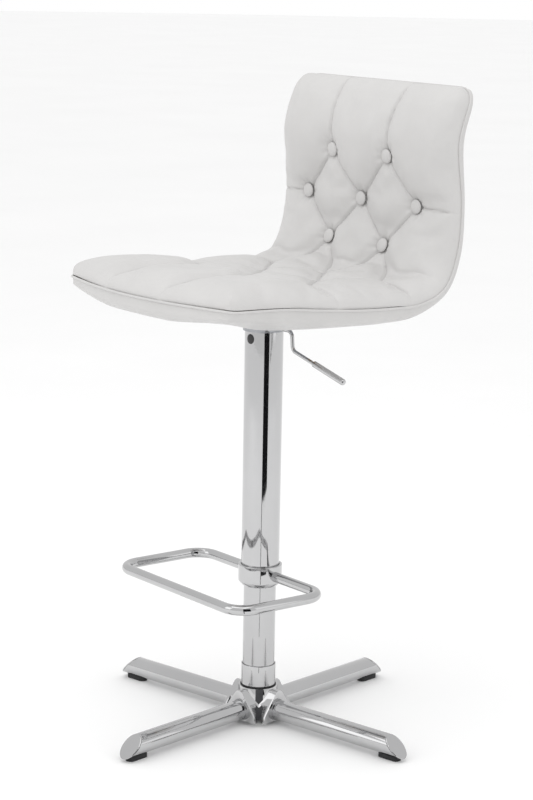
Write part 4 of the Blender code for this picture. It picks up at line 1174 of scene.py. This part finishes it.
def make_shell():
    """The shell's cover: a thin skin with a round lower edge, open over the mount plate."""
    shape = SeatShape()
    size = sizes()
    round_r = size.shell_edge
    near = (0.0, 0.0006, 0.0018, 0.0036, 0.0060, 0.0090, 0.0125, 0.0165, 0.021)
    offsets = close_steps(2 * SEAT_HALF_WIDTH, 0.009, near) - SEAT_HALF_WIDTH
    distances = close_steps(shape.length, 0.009, near)

    def skin(depth_in, inset):
        across, distance, _, bow = sheet_places(shape, offsets, distances, inset)
        seam, depth, _ = shape.frame(distance)
        low = seam + depth * depth_share(across)[..., None]
        inwards = -depth / np.linalg.norm(depth, axis=-1)[..., None]
        edge = np.minimum(SEAT_HALF_WIDTH - np.abs(offsets)[None, :], distances[:, None])
        edge = np.minimum(edge, shape.length - distances[:, None])
        room = np.linalg.norm(depth, axis=-1) * depth_share(across)
        bend = np.minimum(round_r, 0.55 * room)
        share = np.clip(edge / round_r, 0, 1)
        lift = bend * (1 - np.sqrt(1 - (1 - share) ** 2)) + depth_in
        return lifted(across, low + inwards * lift[..., None], bow)

    across, distance, _, bow = sheet_places(shape, offsets, distances)
    seam = shape.frame(distance)[0]
    lip = rim_loop(lifted(across, seam, bow))
    outer = skin(0.0, 0.002)
    inner = skin(size.shell_skin, 0.002 + size.shell_skin)
    rows, columns = outer.shape[:2]
    across, distance, _, bow = sheet_places(shape, offsets, distances, size.shell_skin)
    seam, _, normal = shape.frame(distance)
    inner_lip = rim_loop(lifted(across, seam - normal * 0.0004, bow))
    verts = [*outer.reshape(-1, 3), *inner.reshape(-1, 3)]
    second = rows * columns
    faces = []
    for r in range(rows - 1):
        for c in range(columns - 1):
            a = r * columns + c
            face = [a, a + 1, a + columns + 1, a + columns]
            faces.append(list(reversed(face)))
            faces.append([second + i for i in face])
    index_grid = np.arange(rows * columns).reshape(rows, columns)
    rim_outer = rim_loop(index_grid)
    count = len(rim_outer)
    bands = [rim_outer]
    outer_rim = rim_loop(outer)
    levels = (0.2, 0.4, 0.6, 0.8, 0.93, 1.0)
    for share in levels:
        band = []
        for index in range(count):
            here = Vector(outer_rim[index]).lerp(Vector(lip[index]), share)
            band.append(len(verts))
            verts.append(here)
        bands.append(band)
    band = []
    for index in range(count):
        band.append(len(verts))
        verts.append(Vector(inner_lip[index]))
    bands.append(band)
    bands.append([second + i for i in rim_outer])
    for lower, upper in zip(bands, bands[1:]):
        for index in range(count):
            after = (index + 1) % count
            faces.append([lower[index], lower[after], upper[after], upper[index]])
    mesh = solid_mesh("shell", verts, faces)
    low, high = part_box("mount_plate")
    mesh = opened(mesh, high.x + 0.008, high.y + 0.008, 0.020)
    add_piece("shell_cover", mesh, "leatherette", "seat", ["outer_cover"], 50)


def opened(mesh, half_x, half_y, corner):
    """A mesh with a rounded rectangular opening cut straight up through its flat middle."""
    outline = []
    for sx, sy, start in ((1, 1, 0), (-1, 1, 90), (-1, -1, 180), (1, -1, 270)):
        for step in range(9):
            angle = math.radians(start + 90 * step / 8)
            x = sx * (half_x - corner) + corner * math.cos(angle)
            y = sy * (half_y - corner) + corner * math.sin(angle)
            outline.append((x, y))
    count = len(outline)
    verts = [(x, y, UNDERSIDE - 0.01) for x, y in outline] + [(x, y, UNDERSIDE + 0.012) for x, y in outline]
    faces = [list(range(count)), list(range(count, 2 * count))]
    for index in range(count):
        after = (index + 1) % count
        faces.append([index, after, count + after, count + index])
    cutter = bpy.data.objects.new("opening", solid_mesh("opening", verts, faces))
    target = bpy.data.objects.new("cut", mesh)
    for obj in (cutter, target):
        bpy.context.scene.collection.objects.link(obj)
    cut = target.modifiers.new("Cut", "BOOLEAN")
    cut.operation = "DIFFERENCE"
    cut.solver = "EXACT"
    cut.object = cutter
    graph = bpy.context.evaluated_depsgraph_get()
    result = bpy.data.meshes.new_from_object(target.evaluated_get(graph))
    for obj in (cutter, target):
        bpy.data.objects.remove(obj, do_unlink=True)
    return result


def make_welt():
    """The piping that stands out along the seam."""
    shape = SeatShape()
    offsets = close_steps(2 * SEAT_HALF_WIDTH, 0.006) - SEAT_HALF_WIDTH
    distances = close_steps(shape.length, 0.006)
    across, distance, _, bow = sheet_places(shape, offsets, distances)
    seam, _, normal = shape.frame(distance)
    flat = rim_loop(lifted(across, seam, bow))
    ways = rim_loop(np.stack([np.zeros_like(across), normal[..., 0], normal[..., 1]], axis=-1))
    radius = sizes().welt_radius
    points = []
    count = len(flat)
    for index in range(count):
        along = Vector(flat[(index + 1) % count] - flat[index - 1]).normalized()
        outward = along.cross(Vector(ways[index])).normalized()
        points.append(Vector(flat[index]) + outward * (radius * 0.55))
    kept = [points[0]]
    for point in points[1:]:
        if (point - kept[-1]).length > 0.0015:
            kept.append(point)
    mesh = round_bar("welt", kept, radius, "leatherette", 14, cyclic=True)
    add_piece("seam_welt", mesh, "leatherette", "seat", ["seat_piping"], 60)


# CAD nodes that stay.

NODE_FINISH = {
    "chrome": "chrome",
    "rubber": "rubber",
    "steel": "steel",
    "dark_steel": "dark_steel",
    "nylon": "nylon",
    "black_plastic": "plastic",
    "wood": "wood",
    "foam": "foam",
    "leatherette": "leatherette",
}


def node_slots():
    """Each CAD node's material slot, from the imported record."""
    return {part["node"]: part["material_slot"] for part in frame["record"]["subparts"]}


def paint_nodes():
    for name, slot in node_slots().items():
        obj = frame["nodes"].get(name)
        if obj is None or obj.hide_render:
            continue
        obj.data.materials.clear()
        obj.data.materials.append(finish_of(NODE_FINISH[slot]))


# Stage.

CAMERA_AZIMUTH = 0.912
CAMERA_DISTANCE = 3.578
CAMERA_HEIGHT = 1.239
CAMERA_PITCH = 0.1994
CAMERA_ROLL = 0.0178
CAMERA_PAN = -0.0015
CAMERA_LENS = 105.66


def make_camera():
    data = bpy.data.cameras.new("view")
    data.sensor_width = 36.0
    data.sensor_fit = "AUTO"
    data.lens = CAMERA_LENS
    data.clip_start = 0.05
    data.clip_end = 60.0
    camera = bpy.data.objects.new("view", data)
    bpy.context.scene.collection.objects.link(camera)
    yaw = CAMERA_AZIMUTH + CAMERA_PAN
    dip = math.cos(CAMERA_PITCH)
    ahead = Vector((-math.sin(yaw) * dip, math.cos(yaw) * dip, -math.sin(CAMERA_PITCH)))
    right = Vector((math.cos(yaw), math.sin(yaw), 0.0))
    up = right.cross(ahead)
    turned_right = right * math.cos(CAMERA_ROLL) + up * math.sin(CAMERA_ROLL)
    turned_up = up * math.cos(CAMERA_ROLL) - right * math.sin(CAMERA_ROLL)
    place = (
        math.sin(CAMERA_AZIMUTH) * CAMERA_DISTANCE,
        -math.cos(CAMERA_AZIMUTH) * CAMERA_DISTANCE,
        CAMERA_HEIGHT,
    )
    basis = Matrix((turned_right, turned_up, -ahead)).transposed().to_4x4()
    camera.matrix_world = Matrix.Translation(place) @ basis
    bpy.context.scene.camera = camera


def soft_light(name, place, size, power, target=(0.0, 0.0, 0.5)):
    data = bpy.data.lights.new(name, "AREA")
    data.shape = "RECTANGLE"
    data.size, data.size_y = size
    data.energy = power
    light = bpy.data.objects.new(name, data)
    bpy.context.scene.collection.objects.link(light)
    light.location = place
    light.rotation_euler = (Vector(place) - Vector(target)).to_track_quat("Z", "Y").to_euler()
    return light


def flat_piece(name, corners, tone):
    """A flat stage piece that only glossy surfaces see."""
    mesh = bpy.data.meshes.new(name)
    mesh.from_pydata(corners, [], [list(range(len(corners)))])
    finish = Finish(name)
    finish.tint(finish.noise(2.0), scaled(tone, 0.95), scaled(tone, 1.05))
    finish.shader.inputs["Specular IOR Level"].default_value = 0.0
    finish.shader.inputs["Roughness"].default_value = 1.0
    mesh.materials.append(finish.material)
    obj = bpy.data.objects.new(name, mesh)
    bpy.context.scene.collection.objects.link(obj)
    obj.visible_camera = False
    obj.visible_diffuse = False
    obj.visible_shadow = False
    obj.visible_transmission = False
    return obj


def toward(azimuth, distance, height=0.0):
    """A place at an azimuth round the column, counted like the camera's."""
    return (math.sin(azimuth) * distance, -math.cos(azimuth) * distance, height)


# Outline of the dark strip on the floor: turn from the camera in radians, distance from the column.
STRIP_CORNERS = (
    (0.00, 0.36),
    (0.04, 0.36),
    (0.08, 1.15),
    (0.56, 1.35),
    (0.56, 2.9),
    (0.04, 2.9),
    (0.04, 1.35),
    (0.03, 1.15),
)


def make_stage():
    scene = bpy.context.scene
    scene.view_settings.view_transform = "Standard"
    scene.view_settings.look = "None"
    floor_mesh = bpy.data.meshes.new("floor")
    bm = bmesh.new()
    bmesh.ops.create_circle(bm, cap_ends=True, segments=96, radius=30.0)
    bm.to_mesh(floor_mesh)
    bm.free()
    floor_mesh.materials.append(finish_of("floor"))
    floor = bpy.data.objects.new("floor", floor_mesh)
    scene.collection.objects.link(floor)
    world = bpy.data.worlds.new("studio")
    world.use_nodes = True
    nodes = world.node_tree.nodes
    links = world.node_tree.links
    nodes["Background"].inputs["Color"].default_value = (1.0, 1.0, 1.0, 1.0)
    path = nodes.new("ShaderNodeLightPath")
    dim = nodes.new("ShaderNodeMapRange")
    dim.inputs["To Min"].default_value = 1.0
    dim.inputs["To Max"].default_value = 0.80
    links.new(path.outputs["Is Glossy Ray"], dim.inputs["Value"])
    links.new(dim.outputs["Result"], nodes["Background"].inputs["Strength"])
    scene.world = world
    soft_light("top_softbox", (0.3, -0.5, 3.2), (2.6, 2.6), 16.0)
    soft_light("left_softbox", toward(CAMERA_AZIMUTH - 1.1, 3.2, 1.9), (1.6, 2.2), 9.0)
    soft_light("right_softbox", toward(CAMERA_AZIMUTH + 1.15, 3.4, 1.6), (1.2, 2.2), 3.0)
    first = CAMERA_AZIMUTH + 0.04
    last = CAMERA_AZIMUTH + 0.56
    wall = [toward(first, 2.9), toward(last, 2.9), toward(last, 2.9, 2.4), toward(first, 2.9, 2.4)]
    flat_piece("dark_card", wall, (0.012, 0.012, 0.013))
    strip = [toward(CAMERA_AZIMUTH + turn, reach, 0.002) for turn, reach in STRIP_CORNERS]
    flat_piece("dark_strip", strip, (0.012, 0.012, 0.013))
    make_camera()


# Operators.


def built(make):
    """Runs a maker, and lets its error through so that a script stops on it."""
    make()
    return {"FINISHED"}


class STOOL_OT_stage(bpy.types.Operator):
    """Add the floor, the studio light and the camera"""

    bl_idname = "stool.stage"
    bl_label = "Stage"

    def execute(self, context):
        return built(make_stage)


class STOOL_OT_legs(bpy.types.Operator):
    """Build the four leg tubes with their end plates"""

    bl_idname = "stool.legs"
    bl_label = "Legs"

    def execute(self, context):
        return built(make_legs)


class STOOL_OT_hub(bpy.types.Operator):
    """Build the hub casting and its gasket"""

    bl_idname = "stool.hub"
    bl_label = "Hub"

    def execute(self, context):
        return built(make_hub)


class STOOL_OT_pads(bpy.types.Operator):
    """Build the rubber floor pads"""

    bl_idname = "stool.pads"
    bl_label = "Floor pads"

    def execute(self, context):
        return built(make_pads)


class STOOL_OT_column(bpy.types.Operator):
    """Build the fixed lower tube and its foot ring"""

    bl_idname = "stool.column"
    bl_label = "Column"

    def execute(self, context):
        return built(make_column)


class STOOL_OT_cover(bpy.types.Operator):
    """Build the cover tube that rises with the seat, and its plug"""

    bl_idname = "stool.cover"
    bl_label = "Cover tube"

    def execute(self, context):
        return built(make_cover)


class STOOL_OT_footrest(bpy.types.Operator):
    """Build the footrest's collar and its loop"""

    bl_idname = "stool.footrest"
    bl_label = "Footrest"

    def execute(self, context):
        make_collar()
        return built(make_footrest)


class STOOL_OT_lever(bpy.types.Operator):
    """Build the release lever and its handle"""

    bl_idname = "stool.lever"
    bl_label = "Lever"

    def execute(self, context):
        return built(make_lever)


class STOOL_OT_shell(bpy.types.Operator):
    """Build the covered shell and the welt along its seam"""

    bl_idname = "stool.shell"
    bl_label = "Shell"

    def execute(self, context):
        make_shell()
        return built(make_welt)


class STOOL_OT_cushion(bpy.types.Operator):
    """Build the tufted cushion and its covered buttons"""

    bl_idname = "stool.cushion"
    bl_label = "Cushion"

    def execute(self, context):
        make_cushion()
        return built(make_buttons)


class STOOL_OT_inner(bpy.types.Operator):
    """Give the pieces inside their finishes"""

    bl_idname = "stool.inner"
    bl_label = "Inner pieces"

    def execute(self, context):
        return built(paint_nodes)


OPERATORS = (
    STOOL_OT_stage,
    STOOL_OT_legs,
    STOOL_OT_hub,
    STOOL_OT_pads,
    STOOL_OT_column,
    STOOL_OT_cover,
    STOOL_OT_footrest,
    STOOL_OT_lever,
    STOOL_OT_shell,
    STOOL_OT_cushion,
    STOOL_OT_inner,
)


class STOOL_PT_panel(bpy.types.Panel):
    """Lists the stool's pieces, sizes and colours"""

    bl_idname = "STOOL_PT_panel"
    bl_label = "Swivel Stool"
    bl_space_type = "VIEW_3D"
    bl_region_type = "UI"
    bl_category = "Stool"

    def draw(self, context):
        layout = self.layout
        for operator in OPERATORS:
            layout.operator(operator.bl_idname)
        for group in (context.scene.stool_sizes, context.scene.stool_finishes):
            box = layout.box()
            for name in group.__annotations__:
                box.prop(group, name)


CLASSES = (StoolSizes, StoolFinishes, *OPERATORS, STOOL_PT_panel)


def register():
    for cls in CLASSES:
        bpy.utils.register_class(cls)
    bpy.types.Scene.stool_sizes = bpy.props.PointerProperty(type=StoolSizes)
    bpy.types.Scene.stool_finishes = bpy.props.PointerProperty(type=StoolFinishes)


def unregister():
    del bpy.types.Scene.stool_finishes
    del bpy.types.Scene.stool_sizes
    for cls in reversed(CLASSES):
        bpy.utils.unregister_class(cls)


def main():
    register()
    bpy.ops.stool.stage()
    bpy.ops.stool.legs()
    bpy.ops.stool.hub()
    bpy.ops.stool.pads()
    bpy.ops.stool.column()
    bpy.ops.stool.cover()
    bpy.ops.stool.footrest()
    bpy.ops.stool.lever()
    bpy.ops.stool.shell()
    bpy.ops.stool.cushion()
    bpy.ops.stool.inner()


if __name__ == "__main__":
    main()
